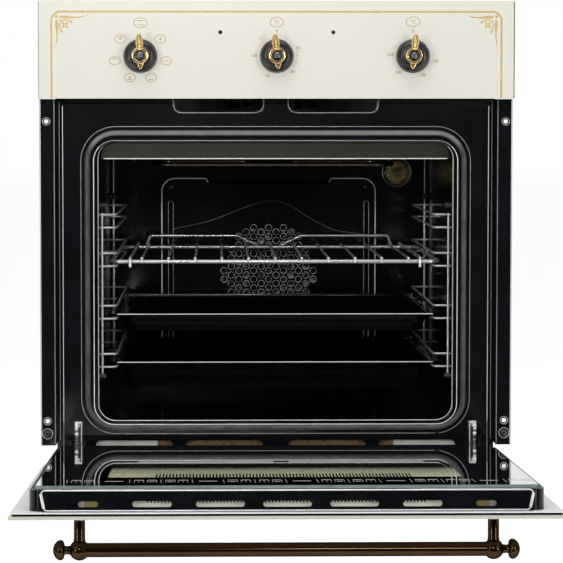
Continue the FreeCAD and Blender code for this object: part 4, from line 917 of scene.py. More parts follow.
def timer_scale():
    """A clock sign, the minutes with dots between them, and a sign for the end at the left."""
    x0 = KNOBS[1][1]
    top = KNOB_Z + 42.0
    meshes = [outline_oval(x0, top, SIGN_WIDE, SIGN_TALL)]
    meshes.append(stroke(oval(x0, top, 2.6, 2.6, 24), 0.5))
    meshes.append(stroke([(x0, top + 2.0), (x0, top), (x0 + 1.5, top - 0.6)], 0.45))
    meshes.append(number("0", on_dial(x0, 0.0, 28.5, 31.0)))
    for text, turn in TIMER_STOPS:
        meshes.append(number(text, on_dial(x0, turn, 28.8, 27.0)))
    for turn in range(11, 270, 11):
        if min(abs(turn - stop) for _, stop in TIMER_STOPS) >= 8:
            x, z = on_dial(x0, turn, 25.5, 25.5)
            meshes.append(stroke([(x - 0.5, z), (x + 0.5, z)], 1.0))
    x, z = on_dial(x0, 316.0, 29.0, 29.0)
    cup = [(x - 1.6, z - 1.6), (x - 1.6, z + 0.6), (x + 1.6, z + 0.6), (x + 1.6, z - 1.6)]
    meshes.append(stroke(cup, 0.5))
    meshes.append(stroke([(x, z + 0.6), (x, z + 2.4)], 0.5))
    printed("panel_timer_scale", meshes, SIGN)


def thermostat_scale():
    x0 = KNOBS[2][1]
    top = KNOB_Z + 42.7
    meshes = [outline_oval(x0, top, 8.5, SIGN_TALL)]
    meshes.append(number("°C", (x0, top), 4.6))
    meshes.append(number("0", on_dial(x0, 0.0, 28.0, 30.8)))
    for text, turn in HEAT_STOPS:
        meshes.append(number(text, on_dial(x0, turn, 28.6, 26.4)))
    printed("panel_thermostat_scale", meshes, SIGN)


border_line()
panel_end_shade()
corner_scroll(-1, "panel_scroll_left")
corner_scroll(1, "panel_scroll_right")
function_signs()
timer_scale()
thermostat_scale()


# Knobs

CROWN = PANEL_FACE - 14.3
SKIRT = PANEL_FACE - 0.3
LEVER_LOW = 7.6
LEVER_HIGH = 28.2
TAIL_Y = -2.6


def knob_lever():
    """A bullet-shaped lever with a ridge, along +Z from the ring."""
    stations = 18
    rows = 10
    long = LEVER_HIGH - LEVER_LOW
    made = bmesh.new()
    grid = []
    for i in range(stations + 1):
        z = LEVER_LOW + long * math.sin(i / stations * math.pi / 2) ** 0.9
        along = (z - LEVER_LOW) / long
        half = 4.8 * (1 - along**3.2) ** 0.6 + 0.03
        tall = (5.4 - 2.4 * along) * (1 - along**6) ** 0.5 + 0.05
        row = []
        for k in range(rows + 1):
            u = -1 + 2 * k / rows
            ridge = (1 - abs(u) ** 1.5) * 0.6 + (1 - u * u) ** 0.5 * 0.4
            row.append(made.verts.new(Vector((half * u, -0.4 - tall * ridge, z)) * MM))
        grid.append(row)
    grid_faces(made, grid)
    for row in (grid[0], grid[-1]):
        made.faces.new(row)
    made.faces.new([row[0] for row in grid] + [row[-1] for row in reversed(grid)])
    return from_bmesh(made)


def knob_ring():
    """Two gold rings with a dark groove between them."""
    outer = [(0.0, 8.7), (6.0, 8.7), (6.4, 8.9), (6.6, 9.4), (6.4, 9.9), (5.8, 10.2), (0.0, 10.2)]
    inner = [(1.9, 6.7), (6.4, 6.7), (6.8, 6.9), (7.0, 7.3), (6.8, 7.7), (6.3, 7.9), (1.9, 7.9)]
    return [lathe(ring + ring[:1], (0, 0, 0), "-y", 64) for ring in (outer, inner)]


def knob_tail():
    """A pointed drop-shaped loop under the ring, with a bead at its tip."""
    route = bent([(0, -9.5), (3.6, -9.8), (0, -17.2), (-3.6, -9.8), (0, -9.5)], 0.9, 5)
    return [wire(at_y(route[1:-1], TAIL_Y), 0.95, True), bead((0.0, TAIL_Y, -12.0), 1.0)]


def knob(name, x, turn):
    body = f"{name}_knob"
    dome = [(0.0, 20.3), (0.0, 20.6), (0.5, 21.0), (3.0, 21.0), (3.8, 20.8), (4.2, 20.4)]
    for k in range(1, 11):
        t = k / 10
        dome.append((4.2 + 9.8 * math.sin(t * math.pi / 2), 20.4 - 9.6 * t**1.9))
    dome += [(14.0, 4.0), (14.0, 0.0)]
    seat = [(0.0, 5.6), (0.0, 8.9), (2.0, 8.9), (2.0, 5.6), (0.0, 5.6)]
    turned = [lathe(dome, (x, SKIRT, KNOB_Z), "-y", 64), lathe(seat, (x, CROWN, KNOB_Z), "-y", 64)]
    piece(f"knob_{name}_dome", turned, f"knob_{name}_base", body=body)
    place = Matrix.Translation(Vector((x, CROWN, KNOB_Z)) * MM)
    place = place @ Matrix.Rotation(math.radians(turn), 4, "Y")
    lever = knob_ring() + [knob_lever()] + knob_tail()
    piece(f"knob_{name}_lever", lever, f"knob_{name}_pointer", body=body, turn=place)
    stone = [(0.0, 5.0), (6.2, 5.0)]
    for k in range(1, 9):
        t = math.pi / 2 * k / 8
        stone.append((6.2 + 4.7 * math.sin(t), 5.0 * math.cos(t) if k < 8 else 0.0))
    stone_mesh = lathe(stone, (x, CROWN, KNOB_Z), "-y", 40)
    piece(f"knob_{name}_stone", stone_mesh, f"knob_{name}_gem", body=body)


for knob_row in KNOBS:
    knob(*knob_row)


# Door gasket and the painted edge highlights round the mouth

SEAL = (247.0, 47.0, 438.0, 44.0)
# Outlines, y and widths of the painted highlight lines round the mouth.
MOUTH_HIGHLIGHTS = (
    ((230.9, 58.9, 420.3, 26.2), 0.05, 1.0),
    ((225.7, 62.9, 418.9, 21.7), 8.0, 0.9),
)
LOOP_STEPS = 12
# Upright painted highlight lines: x, y, lowest and highest z, and width.
BRIGHT_UPRIGHTS = ((269.9, 0.1, 62.0, 464.0, 1.0), (296.6, -19.4, 36.0, 472.0, 0.8))
DIM_UPRIGHTS = (
    (269.9, 0.1, 20.0, 62.0, 0.9),
    (279.2, -19.4, 36.0, 472.0, 0.9),
    (274.0, -0.8, 40.0, 470.0, 0.7),
)
# Routes of painted highlight lines round a top air slot and along the shield's lower edge.
TOP_SLOT = [(15.5, 474.0), (15.5, 455.4), (130.0, 455.4), (130.0, 474.0)]
SHIELD_EDGE = [(-219.0, 397.2), (219.0, 397.2)]
FLANGE_RIMS = (
    (FLANGE_FACE, 66.0, 4.6, 0.7),
    (FLANGE_FACE, 444.5, 4.6, 0.7),
    (FLANGE_FACE, FLANGE_SCREW_Z, 6.4, 0.6),
    (FLANGE_FACE - 1.4, FLANGE_SCREW_Z, 3.5, 0.5),
)
SLOT_LOW = 29.0
SLOT_HIGH = 42.0
GUIDE_SECTION = ((7.0, SLOT_LOW), (7.6, SLOT_LOW), (9.6, SLOT_HIGH), (9.0, SLOT_HIGH))
GUIDE_START = 151.0
GUIDE_STOP = 231.0
WOOL_FACE = 9.5
WOOL_WAVE = 0.9
WOOL_DEEP = 3.0


def gasket():
    """A round hollow seal swept round the mouth."""
    profile = [(4.9, 0.0), (5.0, -1.2)]
    for k in range(11):
        turn = math.pi - math.pi * k / 10
        profile.append((8.0 + 3.0 * math.cos(turn), -1.5 - 3.9 * math.sin(turn)))
    profile += [(11.0, -1.0), (11.1, 0.0)]
    loops = [at_y(rounded_loop(*SEAL, LOOP_STEPS, inset), y) for inset, y in profile]
    piece("door_gasket_seal", ring_sweep(loops), "door_gasket", smooth=60.0)


def mouth_edge_highlights():
    """Painted highlights as lines: dim all round the seal's lip; on the frame's mouth and the cavity's
    collar bright down the sides and along the bottom, dim along the top.
    """
    lip = rounded_loop(*SEAL, LOOP_STEPS)
    bright = []
    dull = [strip(lip + lip[:2], 0.8, 0.1)]
    right = LOOP_STEPS + 1 + LOOP_STEPS // 2
    left = right + LOOP_STEPS + 1
    for shape, y, width in MOUTH_HIGHLIGHTS:
        loop = rounded_loop(*shape, LOOP_STEPS)
        bright.append(strip(loop[left:] + loop[: right + 1], width, y))
        dull.append(strip(loop[right : left + 1], width, y))
    oven_piece("mouth_edge_highlights", bright, HIGHLIGHT_AND_BRIGHT_METAL, "zinc_steel")
    oven_piece("dim_mouth_highlights", dull, DIM_HIGHLIGHT_AND_GREY_METAL, "zinc_steel")


def frame_highlights():
    """Painted highlights: bright and dim lines on the folds of the front frame and the flanges, round
    the top air slots, and a bright line along the shield's lower edge.
    """
    bright = []
    dim = []
    for side in SIDES:
        for lines, rows in ((bright, BRIGHT_UPRIGHTS), (dim, DIM_UPRIGHTS)):
            for x, y, low, high, width in rows:
                lines.append(strip([(side * x, low), (side * x, high)], width, y))
        line = bent([(x, z, 0.0) for x, z in mirrored(side, TOP_SLOT)], 11.0, 8)
        dim.append(strip([(p.x, p.y) for p in line], 1.0, 0.1))
    bright.append(strip(SHIELD_EDGE, 1.3, 14.0))
    oven_piece("frame_bright_highlights", bright, HIGHLIGHT_AND_BRIGHT_METAL, "zinc_steel")
    oven_piece("frame_dim_highlights", dim, DIM_HIGHLIGHT_AND_GREY_METAL, "zinc_steel")


def flange_rings():
    """Raised rims round the flange holes and dished seats of the lower screws, in grey metal as a
    painted dim highlight on the black flanges.
    """
    rims = []
    for side in SIDES:
        for y, z, radius, thick in FLANGE_RIMS:
            rims.append(ring_mesh(side * FLANGE_HOLE_X, y, z, radius, thick))
    oven_piece("flange_rims", rims, DIM_HIGHLIGHT_AND_GREY_METAL, "zinc_steel")


def slot_linings():
    """What shows through the lower air slots: zinc air guides at the sides, wool between."""
    guides = []
    for side in SIDES:
        ends = sorted((side * GUIDE_START, side * GUIDE_STOP))
        guides.append(bar_between(ends, GUIDE_SECTION))
    oven_piece("air_guides", guides, AIR_GUIDE, "galvanised")
    made = bmesh.new()
    columns = 60
    rows = 4
    grid = []
    for i in range(columns + 1):
        x = -GUIDE_START + 2 * GUIDE_START * i / columns
        row = []
        for k in range(rows + 1):
            z = SLOT_LOW + (SLOT_HIGH - SLOT_LOW) * k / rows
            y = WOOL_FACE + WOOL_WAVE * math.sin(0.9 * i) * math.cos(1.7 * k + 0.4 * i)
            row.append(made.verts.new(Vector((x, y, z)) * MM))
        grid.append(row)
    grid_faces(made, grid)
    back = bmesh.ops.extrude_face_region(made, geom=made.faces[:])
    moved = [v for v in back["geom"] if isinstance(v, bmesh.types.BMVert)]
    bmesh.ops.translate(made, verts=moved, vec=Vector((0, WOOL_DEEP, 0)) * MM)
    oven_piece("wool_edge", [from_bmesh(made)], WOOL, "mineral_wool")


gasket()
mouth_edge_highlights()
frame_highlights()
flange_rings()
slot_linings()


# Fan cover

COVER_FACE = 380.0
COVER_HALF = 155.0
COVER_LOW = 93.0
COVER_HIGH = 363.0
COVER_CORNER = 20.0
COVER_ROUND = 3.2
COVER_SLOT = (141.0, COVER_LOW + 37.0, COVER_HIGH - 37.0)
OUTLET_HALF = 87.0
OUTLET_DEEP = 6.0
HOLE_PITCH = 12.4
HOLE_RADIUS = 4.75
PRESSED_RIB = (
    (-137, 289), (-84, 301), (-40, 318), (-8, 328), (12, 329), (36, 320), (62, 303), (97, 287),
    (135, 282),
)


def hole_places():
    """Staggered columns of holes round the fan's centre."""
    places = []
    step = HOLE_PITCH * math.cos(math.radians(30))
    for column in range(-6, 7):
        for row in range(-7, 8):
            x = step * column
            up = HOLE_PITCH * (row + (0.5 if column % 2 == 0 else 0.0))
            if abs(up) <= 68.5 and 2 * abs(x) + abs(up) <= 146.0:
                places.append((x, FAN_Z + up))
    return places


def cover_slots(radius, steps):
    """The long upright holes at both sides of the cover, as loops of (x, z) points."""
    x, low, high = COVER_SLOT
    loops = []
    for side in SIDES:
        loop = arc(side * x, high, radius, 0.0, 180.0, steps)
        loops.append(loop + arc(side * x, low, radius, 180.0, 360.0, steps))
    return loops


def cover_loop(inset):
    """The cover's outline, with the wide air outlet let into its top edge."""
    steps = 10
    loop = rounded_loop(COVER_HALF, COVER_LOW, COVER_HIGH, COVER_CORNER, steps, inset)
    top = COVER_HIGH - inset
    slope = [(OUTLET_HALF + 5.0 + inset, top)]
    for k in range(9):
        t = k / 8
        ease = t * t * (3 - 2 * t)
        slope.append((OUTLET_HALF + inset + 4.0 - 4.0 * t, top - OUTLET_DEEP * ease))
    right_half = 2 * (steps + 1)
    return loop[:right_half] + slope + mirrored(-1, reversed(slope)) + loop[right_half:]


def fan_cover():
    loops = [cover_loop(COVER_ROUND)]
    for x, z in hole_places():
        loops.append(oval(x, z, HOLE_RADIUS, HOLE_RADIUS, 18)[:-1])
    loops += cover_slots(2.0, 12)
    wall = []
    for k in range(7):
        turn = math.pi / 2 * k / 6
        y = COVER_FACE + COVER_ROUND * (1 - math.cos(turn))
        wall.append(at_y(cover_loop(COVER_ROUND * (1 - math.sin(turn))), y))
    wall.append([(x, CAVITY_BACK - 0.2, z) for x, _, z in wall[-1]])
    meshes = [flat_sheet(loops, COVER_FACE, 0.8), ring_sweep(wall)]
    piece("fan_cover_pan", meshes, "fan_cover", smooth=50.0)


def cover_edges():
    """Punched rims a little proud of the cover with painted glints, a pressed rib and the slot edges
    drawn as dim painted highlights, and bright painted highlights along the cover's folded edges.
    """
    ring = [(-0.25, 4.15), (0.2, 4.2), (0.35, 4.35), (0.4, 4.65)]
    ring += [(0.35, 4.95), (0.2, 5.1), (-0.25, 5.15)]
    rims = [lathe(ring + ring[:1], (x, COVER_FACE, z), "-y", 18) for x, z in hole_places()]
    oven_piece("fan_cover_rims", rims, PUNCHED, "black_enamel")
    # Slot edges and the pressed rib in grey metal: dim painted highlights.
    slots = [wire(at_y(loop, COVER_FACE), 0.5, True, 2) for loop in cover_slots(3.4, 8)]
    slots.append(wire(at_y(smooth_line(PRESSED_RIB, 6), COVER_FACE + 0.36), 0.5))
    oven_piece("fan_cover_slot_and_rib_highlights", slots, DIM_HIGHLIGHT_AND_GREY_METAL, "black_enamel")
    # Bright strips along the folded edges: painted highlights.
    fold = 1.2
    edge_x = COVER_HALF - fold
    edge_z = COVER_HIGH - fold
    corner = [(OUTLET_HALF + 3.5, edge_z, 0.0), (edge_x, edge_z, 0.0), (edge_x, COVER_LOW + 3.0, 0.0)]
    line = [(OUTLET_HALF, COVER_HIGH - 6.5)]
    line += [(p.x, p.y) for p in bent(corner, COVER_CORNER - fold, 8)]
    folds = [strip(mirrored(side, line), 1.5, COVER_FACE + fold, 0.9) for side in SIDES]
    oven_piece("fan_cover_fold_highlights", folds, HIGHLIGHT_AND_BRIGHT_METAL, "black_enamel")


fan_cover()
cover_edges()


# Wire goods

RACK_WALL = 225.4
RACK_REACH = 203.5
RACK_FRONT = 24.0
RACK_REAR = 338.0
RACK_LEVELS = (129.9, 191.9, 259.3, 308.8)
RUNG_GAP = 16.6
UPRIGHT_X = 221.5
RUNG_BEND = 7.0
RUNG_RADIUS = 1.4
UPRIGHT_OFF = 4.45
UPRIGHT_SPAN = (121.9, 327.5)
UPRIGHT_RADIUS = 1.5
HANGER_SPAN = (327.0, 400.0)
HANGER_RADIUS = 0.9
SHELF_Z = 264.6
SHELF_HALF = 210.5
SHELF_FRONT = 33
SHELF_REAR = 352
SHELF_PITCH = 34.2
SHELF_COUNT = 5
SHELF_FRAME_RADIUS = 2.6
SHELF_BAR_RADIUS = 1.6
FENCE_Y = 357.05
FENCE = ((-176, 0), (-170, 16), (-46, 16), (-12, 0), (12, 0), (46, 16), (170, 16), (176, 0))
STOP_X = 186.0
STOP_Y = 27.7
GRILL_Z = 387
GRILL_RADIUS = 3.25
TRAYS = (("tray_upper", 197.0, "upper_tray"), ("tray_lower", 135.0, "lower_tray"))
TRAY_HALF = 203.0
TRAY_FRONT = 32.2


def tray_rims():
    """Bright strips along the rolled front rims of the two trays: painted highlights."""
    for name, z, body in TRAYS:
        rim = strip([(-TRAY_HALF, z), (TRAY_HALF, z)], 1.1, TRAY_FRONT)
        piece(f"{name}_rim", rim, body=body, material=HIGHLIGHT_AND_BRIGHT_METAL, slot="black_enamel")


def side_rack(side, name):
    wall = side * RACK_WALL
    reach = side * RACK_REACH
    ends = ((wall, RACK_FRONT), (reach, RACK_FRONT), (reach, RACK_REAR), (wall, RACK_REAR))
    meshes = []
    for level in RACK_LEVELS:
        for z in (level, level + RUNG_GAP):
            meshes.append(wire(bent([(x, y, z) for x, y in ends], RUNG_BEND), RUNG_RADIUS))
    x = side * UPRIGHT_X
    rear = RACK_REAR + UPRIGHT_OFF
    for y in (RACK_FRONT - UPRIGHT_OFF, rear):
        meshes.append(wire([(x, y, z) for z in UPRIGHT_SPAN], UPRIGHT_RADIUS))
    piece(f"{name}_wires", meshes, name, material=ZINC)
    hanger = wire([(x, rear, z) for z in HANGER_SPAN], HANGER_RADIUS)
    oven_piece(f"{name}_hanger", [hanger], DIM_HIGHLIGHT_AND_GREY_METAL, "zinc_steel")


def shelf():
    """The wire rack with its welds, and the fence and stops that stand on it."""
    half = SHELF_HALF
    corners = [(0, SHELF_FRONT), (half, SHELF_FRONT), (half, SHELF_REAR)]
    corners += [(-half, SHELF_REAR), (-half, SHELF_FRONT), (0, SHELF_FRONT)]
    route = bent([(x, y, SHELF_Z) for x, y in corners], 14.0)[:-1]
    meshes = [wire(route, SHELF_FRAME_RADIUS, True, 4)]
    welds = []
    top = SHELF_Z + 4.4
    for k in range(-SHELF_COUNT, SHELF_COUNT + 1):
        x = SHELF_PITCH * k
        line = bent([(x, 354.5, top), (x, 29.6, top), (x, 29.6, top - 5.0)], 2.2, 4)
        meshes.append(wire(line, SHELF_BAR_RADIUS))
        welds.append(bead((x, 28.2, SHELF_Z + 4.2), 2.0))
    piece("wire_rack_wires", meshes, "wire_rack")
    # The welds take the pale metal so they show as bright dots: real welds with a painted highlight.
    piece("wire_rack_welds", welds, body=BODY_OF["wire_rack"], material=HIGHLIGHT_AND_BRIGHT_METAL, slot="chrome_wire")
    meshes = [wire(bent([(x, FENCE_Y, SHELF_Z + up) for x, up in FENCE], 5.0), 2.0)]
    z = SHELF_Z + 5.05
    for x in (-STOP_X, STOP_X):
        hook = [(x, SHELF_REAR, z), (x, STOP_Y, z), (x, STOP_Y, z - 12.0)]
        meshes.append(wire(bent(hook, 4.0), 2.0))
    piece("rack_fence_wires", meshes, "rack_fence")


def grill_tube():
    half = [(22, CAVITY_BACK), (22, 350), (160, 350), (160, 150)]
    corners = mirrored(-1, half) + half[::-1]
    route = bent([(x, y, GRILL_Z) for x, y in corners], 24.0, 8)
    piece("grill_element_tube", wire(route, GRILL_RADIUS, sides=4), "grill_element")


tray_rims()
side_rack(-1, "side_rack_left")
side_rack(1, "side_rack_right")
shelf()
grill_tube()


# Lamp and screws

LAMP = (187.0, CAVITY_BACK, 370.0)
LAMP_RIBS = 7


def lamp():
    """A ribbed glass dome with a warm reflector behind it."""
    lens = [(0.0, 20.4), (3.0, 20.4)]
    steps = LAMP_RIBS * 4
    for k in range(steps + 1):
        turn = k / steps * math.pi / 2
        ripple = 0.45 * math.cos(2 * math.pi * LAMP_RIBS * k / steps)
        radius = (20.0 + ripple) * math.cos(turn)
        lens.append((3.0 + (14.8 + ripple) * math.sin(turn), radius if k < steps else 0.0))
    for k in range(13):
        turn = math.pi / 2 * (1 - k / 12)
        lens.append((2.0 + 13.2 * math.sin(turn), 18.0 * math.cos(turn) if k else 0.0))
    lens += [(0.0, 18.2), (0.0, 20.4)]
    piece("lamp_lens", lathe(lens, LAMP, "-y", 64), "lamp_glass").visible_shadow = False
    dish = [(0.3, 18.0), (0.9, 17.8), (0.5, 14.0), (0.2, 9.0), (0.2, 6.5), (-0.4, 6.5), (-0.4, 18.0)]
    oven_piece("lamp_dish", [lathe(dish + dish[:1], LAMP)], LAMP_DISH, "zinc_steel")
    x, y, z = LAMP
    oven_piece("lamp_rim", [ring_mesh(x, y - 2.6, z, 20.6, 0.6, 48)], DIM_HIGHLIGHT_AND_GREY_METAL, "zinc_steel")


def screws():
    places = [(side * FLANGE_HOLE_X, FLANGE_FACE, FLANGE_SCREW_Z) for side in SIDES]
    for side in SIDES:
        for z in (COVER_LOW + 13.5, COVER_HIGH - 13.5):
            places.append((side * 141.5, COVER_FACE, z))
    head = [(0.0, 4.5), (1.0, 4.45), (1.8, 3.8), (2.3, 2.6), (2.4, 1.6), (1.2, 1.2), (1.2, 0.0)]
    meshes = [lathe(head, place, "-y", 24) for place in places]
    piece("screw_heads", meshes, "screws", material=DARK_STEEL)


lamp()
screws()


# Hinge arms; each plate has its reach from the arm's middle, its front and its height

ARM_X = 251.0
ARM_BACK = -0.6
RIVET_HEIGHTS = (57.4, 47.5)
ARM_PLATES = (
    ((-4.4, 4.4), -5.4, (60.2, 63.0)),
    ((0.8, 4.4), -5.4, (52.0, 60.3)),
    ((-4.4, -3.2), -5.2, (34.0, 60.3)),
    ((-1.2, 0.2), -4.6, (54.5, 60.3)),
    ((-3.3, 1.0), -4.2, (52.0, 54.6)),
    ((0.2, 4.0), -5.0, (30.0, 52.1)),
)
RIVET = [(0.0, 2.2), (0.3, 2.1), (0.55, 1.5), (0.65, 0.0)]


def hinge_arms():
    """A hooked plate over a slim post, a thin flank and a rivet on each side."""
    plates = []
    rivets = []
    for side in SIDES:
        for across, front, up in ARM_PLATES:
            x = sorted(side * (ARM_X + reach) for reach in across)
            plates.append(block(x, (front, ARM_BACK), up))
        for z in RIVET_HEIGHTS:
            rivets.append(lathe(RIVET, (side * (ARM_X + 2.3), -5.2, z), "-y", 20))
    rounded(oven_piece("hinge_arm_plates", plates, HIGHLIGHT_AND_BRIGHT_METAL, "chrome_wire"), 0.5, 3)
    oven_piece("hinge_arm_rivets", rivets, HIGHLIGHT_AND_BRIGHT_METAL, "chrome_wire")


hinge_arms()


# Door glass and skin

GLASS_HALF = 269.5
GLASS_LOW = 36.0
GLASS_HIGH = 450.0
GLASS_BACK = -10.0
GLASS_FACE = -6.0
WINDOW_HALF = 195.5
WINDOW_LOW = 244.0
WINDOW_HIGH = 377.0
MIDDLE_PANE = (239.7, 50.3, 441.7, 2.0, -22.0, -18.0)
OUTER_PANE = (158.0, 224.0, 404.0, 12.0, -33.0, -29.0)
SKIN_WINDOW = (146.0, 236.0, 392.0, 12.0)
SKIN_LOW = 4.0
SKIN_HIGH = 468.0
SHADE_STRIP_HALF = 262.0
SHADE_STRIP_Z = 460.6
LINING_HALF = 258.0
COMB_ROWS = (233.0, 392.0)
COMB_LOW = 345.0
COMB_PITCH = 3.7
MARKS_Z = 413.0
BANDS_Z = 224.0
LINING_SECTION = ((-32.5, 452.4), (-32.9, 452.8), (-19.9, 438.4), (-19.5, 438.0))


def pane(half, low, high, corner, back, face):
    """A sheet of glass with eased edges."""
    ease = 0.8
    levels = ((ease, back), (0.0, back + ease), (0.0, face - ease), (ease, face))
    loops = [at_y(rounded_loop(half, low, high, corner, 6, inset), y) for inset, y in levels]
    return ring_sweep(loops, capped=True)


def door_glass():
    """Three panes; the inner one is printed black from behind round its window."""
    outline = rounded_loop(GLASS_HALF, GLASS_LOW, GLASS_HIGH, 6.0, 6)
    window = rounded_loop(WINDOW_HALF, WINDOW_LOW, WINDOW_HIGH, 4.0, 4)
    thick = GLASS_FACE - GLASS_BACK
    middle = pane(*MIDDLE_PANE)
    outer = pane(*OUTER_PANE)
    border = flat_sheet([outline, window], GLASS_BACK, thick)
    clear = flat_sheet([window], GLASS_BACK, thick)
    panes = [
        in_door(name, mesh, glass, "door_glass", node)
        for name, mesh, glass, node in (
            ("door_middle_pane", middle, INNER_GLASS, "door_middle_glass"),
            ("door_outer_pane", outer, DOOR_GLASS, "door_outer_window"),
            ("door_inner_border", border, INK_GLASS, "door_inner_glass"),
            ("door_inner_window", clear, WINDOW_GLASS, "door_inner_glass"),
        )
    ]
    for thing in panes:
        thing.visible_shadow = False
    rounded(panes[2], 0.5, 2, 60.0)
    route = rounded_loop(GLASS_HALF, GLASS_LOW, GLASS_HIGH, 6.0, 6, -0.05)
    edge = [at_y(route, y) for y in (GLASS_BACK + 0.3, GLASS_FACE - 0.15)]
    in_door("door_glass_edge", ring_sweep(edge), GLASS_EDGE, "door_glass")


def comb_places(half):
    """The middles of a comb's teeth."""
    return [-half + COMB_PITCH * (k + 0.5) for k in range(int(2 * half / COMB_PITCH))]


def on_glass(points, width):
    return ribbon(points, width, GLASS_FACE - 0.02, GLASS_FACE + 0.04)


def window_comb():
    """Two toothed strips that clip the outer window's glass, and ticks printed on the inner one."""
    half = 147.0
    meshes = []
    for z in COMB_ROWS:
        meshes.append(block((-half, half), (-29.0, -28.4), (z, z + 3.0)))
        for x in comb_places(half):
            meshes.append(block((x - 0.9, x + 0.9), (-28.5, -25.4), (z + 0.5, z + 1.6)))
    in_door("door_window_combs", meshes, BLACK, "black_enamel")
    ticks = [on_glass([(x, COMB_LOW), (x, WINDOW_HIGH + 0.5)], 1.8) for x in comb_places(144.0)]
    in_door("door_window_ticks", ticks, INK_GLASS, "door_glass")


def glass_marks():
    """A printed row of plain ticks, dashes and trough shapes, and two pale bands."""
    z = MARKS_Z
    low = z - 10.0
    high = z + 10.0
    meshes = []
    for k in range(-7, 8):
        x = 34.0 * k
        meshes.append(on_glass([(x - 0.6, z - 15.0), (x + 0.6, z + 15.0)], 0.6))
        if k % 3 == 0:
            meshes.append(on_glass([(x + 7.0, z), (x + 27.0, z)], 4.0))
            continue
        for j in range(2):
            left = x + 5.0 + 14.0 * j
            right = left + 10.0
            meshes.append(on_glass([(left, high), (left, low)], 0.55))
            meshes.append(on_glass([(right, high), (right, low)], 0.55))
            meshes.append(on_glass([(left, low), (right, low)], 4.0))
            if (k + j) % 2:
                meshes.append(on_glass([(left + 5.0, z - 4.0), (left + 5.0, high)], 0.6))
            else:
                meshes.append(on_glass([(left + 2.0, z + 4.0), (left + 8.0, z + 4.0)], 4.0))
    in_door("door_glass_marks", meshes, PALE, "door_glass")
    ends = [(9.0, BANDS_Z), (167.0, BANDS_Z)]
    bands = [on_glass(mirrored(side, ends), 17.0) for side in SIDES]
    in_door("door_glass_bands", bands, BAND, "door_glass")


def door_panel():
    """The cream skin with its window, and the thin sheet that closes it behind."""
    window = rounded_loop(*SKIN_WINDOW)
    outline = rounded_loop(HALF_FRONT, SKIN_LOW, SKIN_HIGH, 3.0, 4)
    behind = rounded_loop(HALF_FRONT - 2.5, SKIN_LOW + 2.5, SKIN_HIGH - 2.5, 1.0, 2)
    spacer = rounded_loop(HALF_FRONT - 4.0, SKIN_LOW + 4.0, SKIN_HIGH - 4.0, 1.0, 2)

    def layer(name, loop, y, thick, material):
        mesh = flat_sheet([loop, window], y, thick)
        return in_door(name, mesh, material, "cream_enamel", "door_outer_panel")

    skin = layer("door_skin", outline, -40.5, 3.5, CREAM)
    # The faces round the skin's edge take the darker cream: painted shade.
    skin.data.materials.append(CREAM_PAINTED_SHADE)
    for face in skin.data.polygons:
        face.material_index = 1 if abs(face.normal.z) < 0.5 else 0
    back = layer("door_back_sheet", behind, -34.5, 1.5, DOOR_BACK)
    lining = bar_between((-LINING_HALF, LINING_HALF), LINING_SECTION)
    in_door("door_lining", lining, LINING, "cream_enamel")
    # A thin grey strip on the back sheet between the door frame and the skin's near edge: painted
    # shade.
    lip = ribbon([(-SHADE_STRIP_HALF, SHADE_STRIP_Z), (SHADE_STRIP_HALF, SHADE_STRIP_Z)], 7.6, -33.0, -32.8)
    in_door("door_shade_strip", lip, DOOR_SHADE_STRIP, "cream_enamel")
    # The spacer is black so that the gap between the skin and the back sheet shows dark: painted shade
    # on a real layer.
    layer("door_spacer", spacer, -37.0, 2.5, BLACK)
    rounded(skin, 1.5, 3, 50.0)
    rounded(back, 0.3, 3, 50.0)


door_glass()
window_comb()
glass_marks()
door_panel()


# Door frame, its painted edge highlights and the handle

FRAME_HALF = 276.5
FRAME_HIGH = 456.0
FRAME_LOW = 30.0
FRAME_CORNER = 15.0
FRAME_SHEET = 1.5
FRAME_BACK = -33.0
FRAME_DEEP = 23.0
FRAME_WALLS = (
    ((240.0, 241.5), (200.0, 442.0)),
    ((241.5, 261.0), (200.0, 201.5)),
    ((261.0, 262.5), (FRAME_LOW, 201.5)),
)
VENTS = ((0.0, 52.0), (71.7, 52.0), (144.6, 42.0), (212.6, 22.0))
VENT_TALL = 6.4
VENT_Y = -25.2
VENT_TAB_X = (199.0, 217.0)
VENT_TAB_Y = (-30.0, -18.0)
VENT_TAB_Z = (453.2, 453.8)
VENT_STOP_X = (217.0, 226.0)
VENT_STOP_Z = (453.0, 453.6)
VENT_COMB_Z = (453.6, 454.4)
HIGHLIGHT_Z = 456.05
HIGHLIGHT_ENDS = ((263.2, -14.0), (260.0, -29.5))
HIGHLIGHT_ROUTE = [(0, -10.6), (264.3, -10.6), (259.6, -32.2), (-259.6, -32.2), (-264.3, -10.6), (0, -10.6)]
HANDLE_X = 223.5
HANDLE_FACE = -40.5
HANDLE_Y = -78.0
HANDLE_Z = 430.0
HANDLE_BAR = 7.75
FINIAL = [
    (252.2, 0.0), (252.0, 2.2), (251.2, 5.0), (249.8, 7.6), (247.6, 9.8), (245.2, 10.9), (243.2, 11.0),
    (241.4, 10.2), (240.2, 8.6), (239.7, 6.4), (239.4, 4.9), (237.0, 4.4), (235.2, 4.8),
]
BALL = 11.25
COLLAR = [(219.6, 10.4), (218.2, 10.2), (217.8, 9.0), (217.2, 8.2), (216.0, HANDLE_BAR)]
STEM = [
    (0.2, 9.0), (1.4, 9.0), (2.4, 8.4), (3.0, 7.0), (4.2, 6.3), (6.0, 6.1), (25.0, 6.1),
    (26.4, 6.5), (27.7, 6.4), (28.7, 5.4), (28.7, 0.0),
]


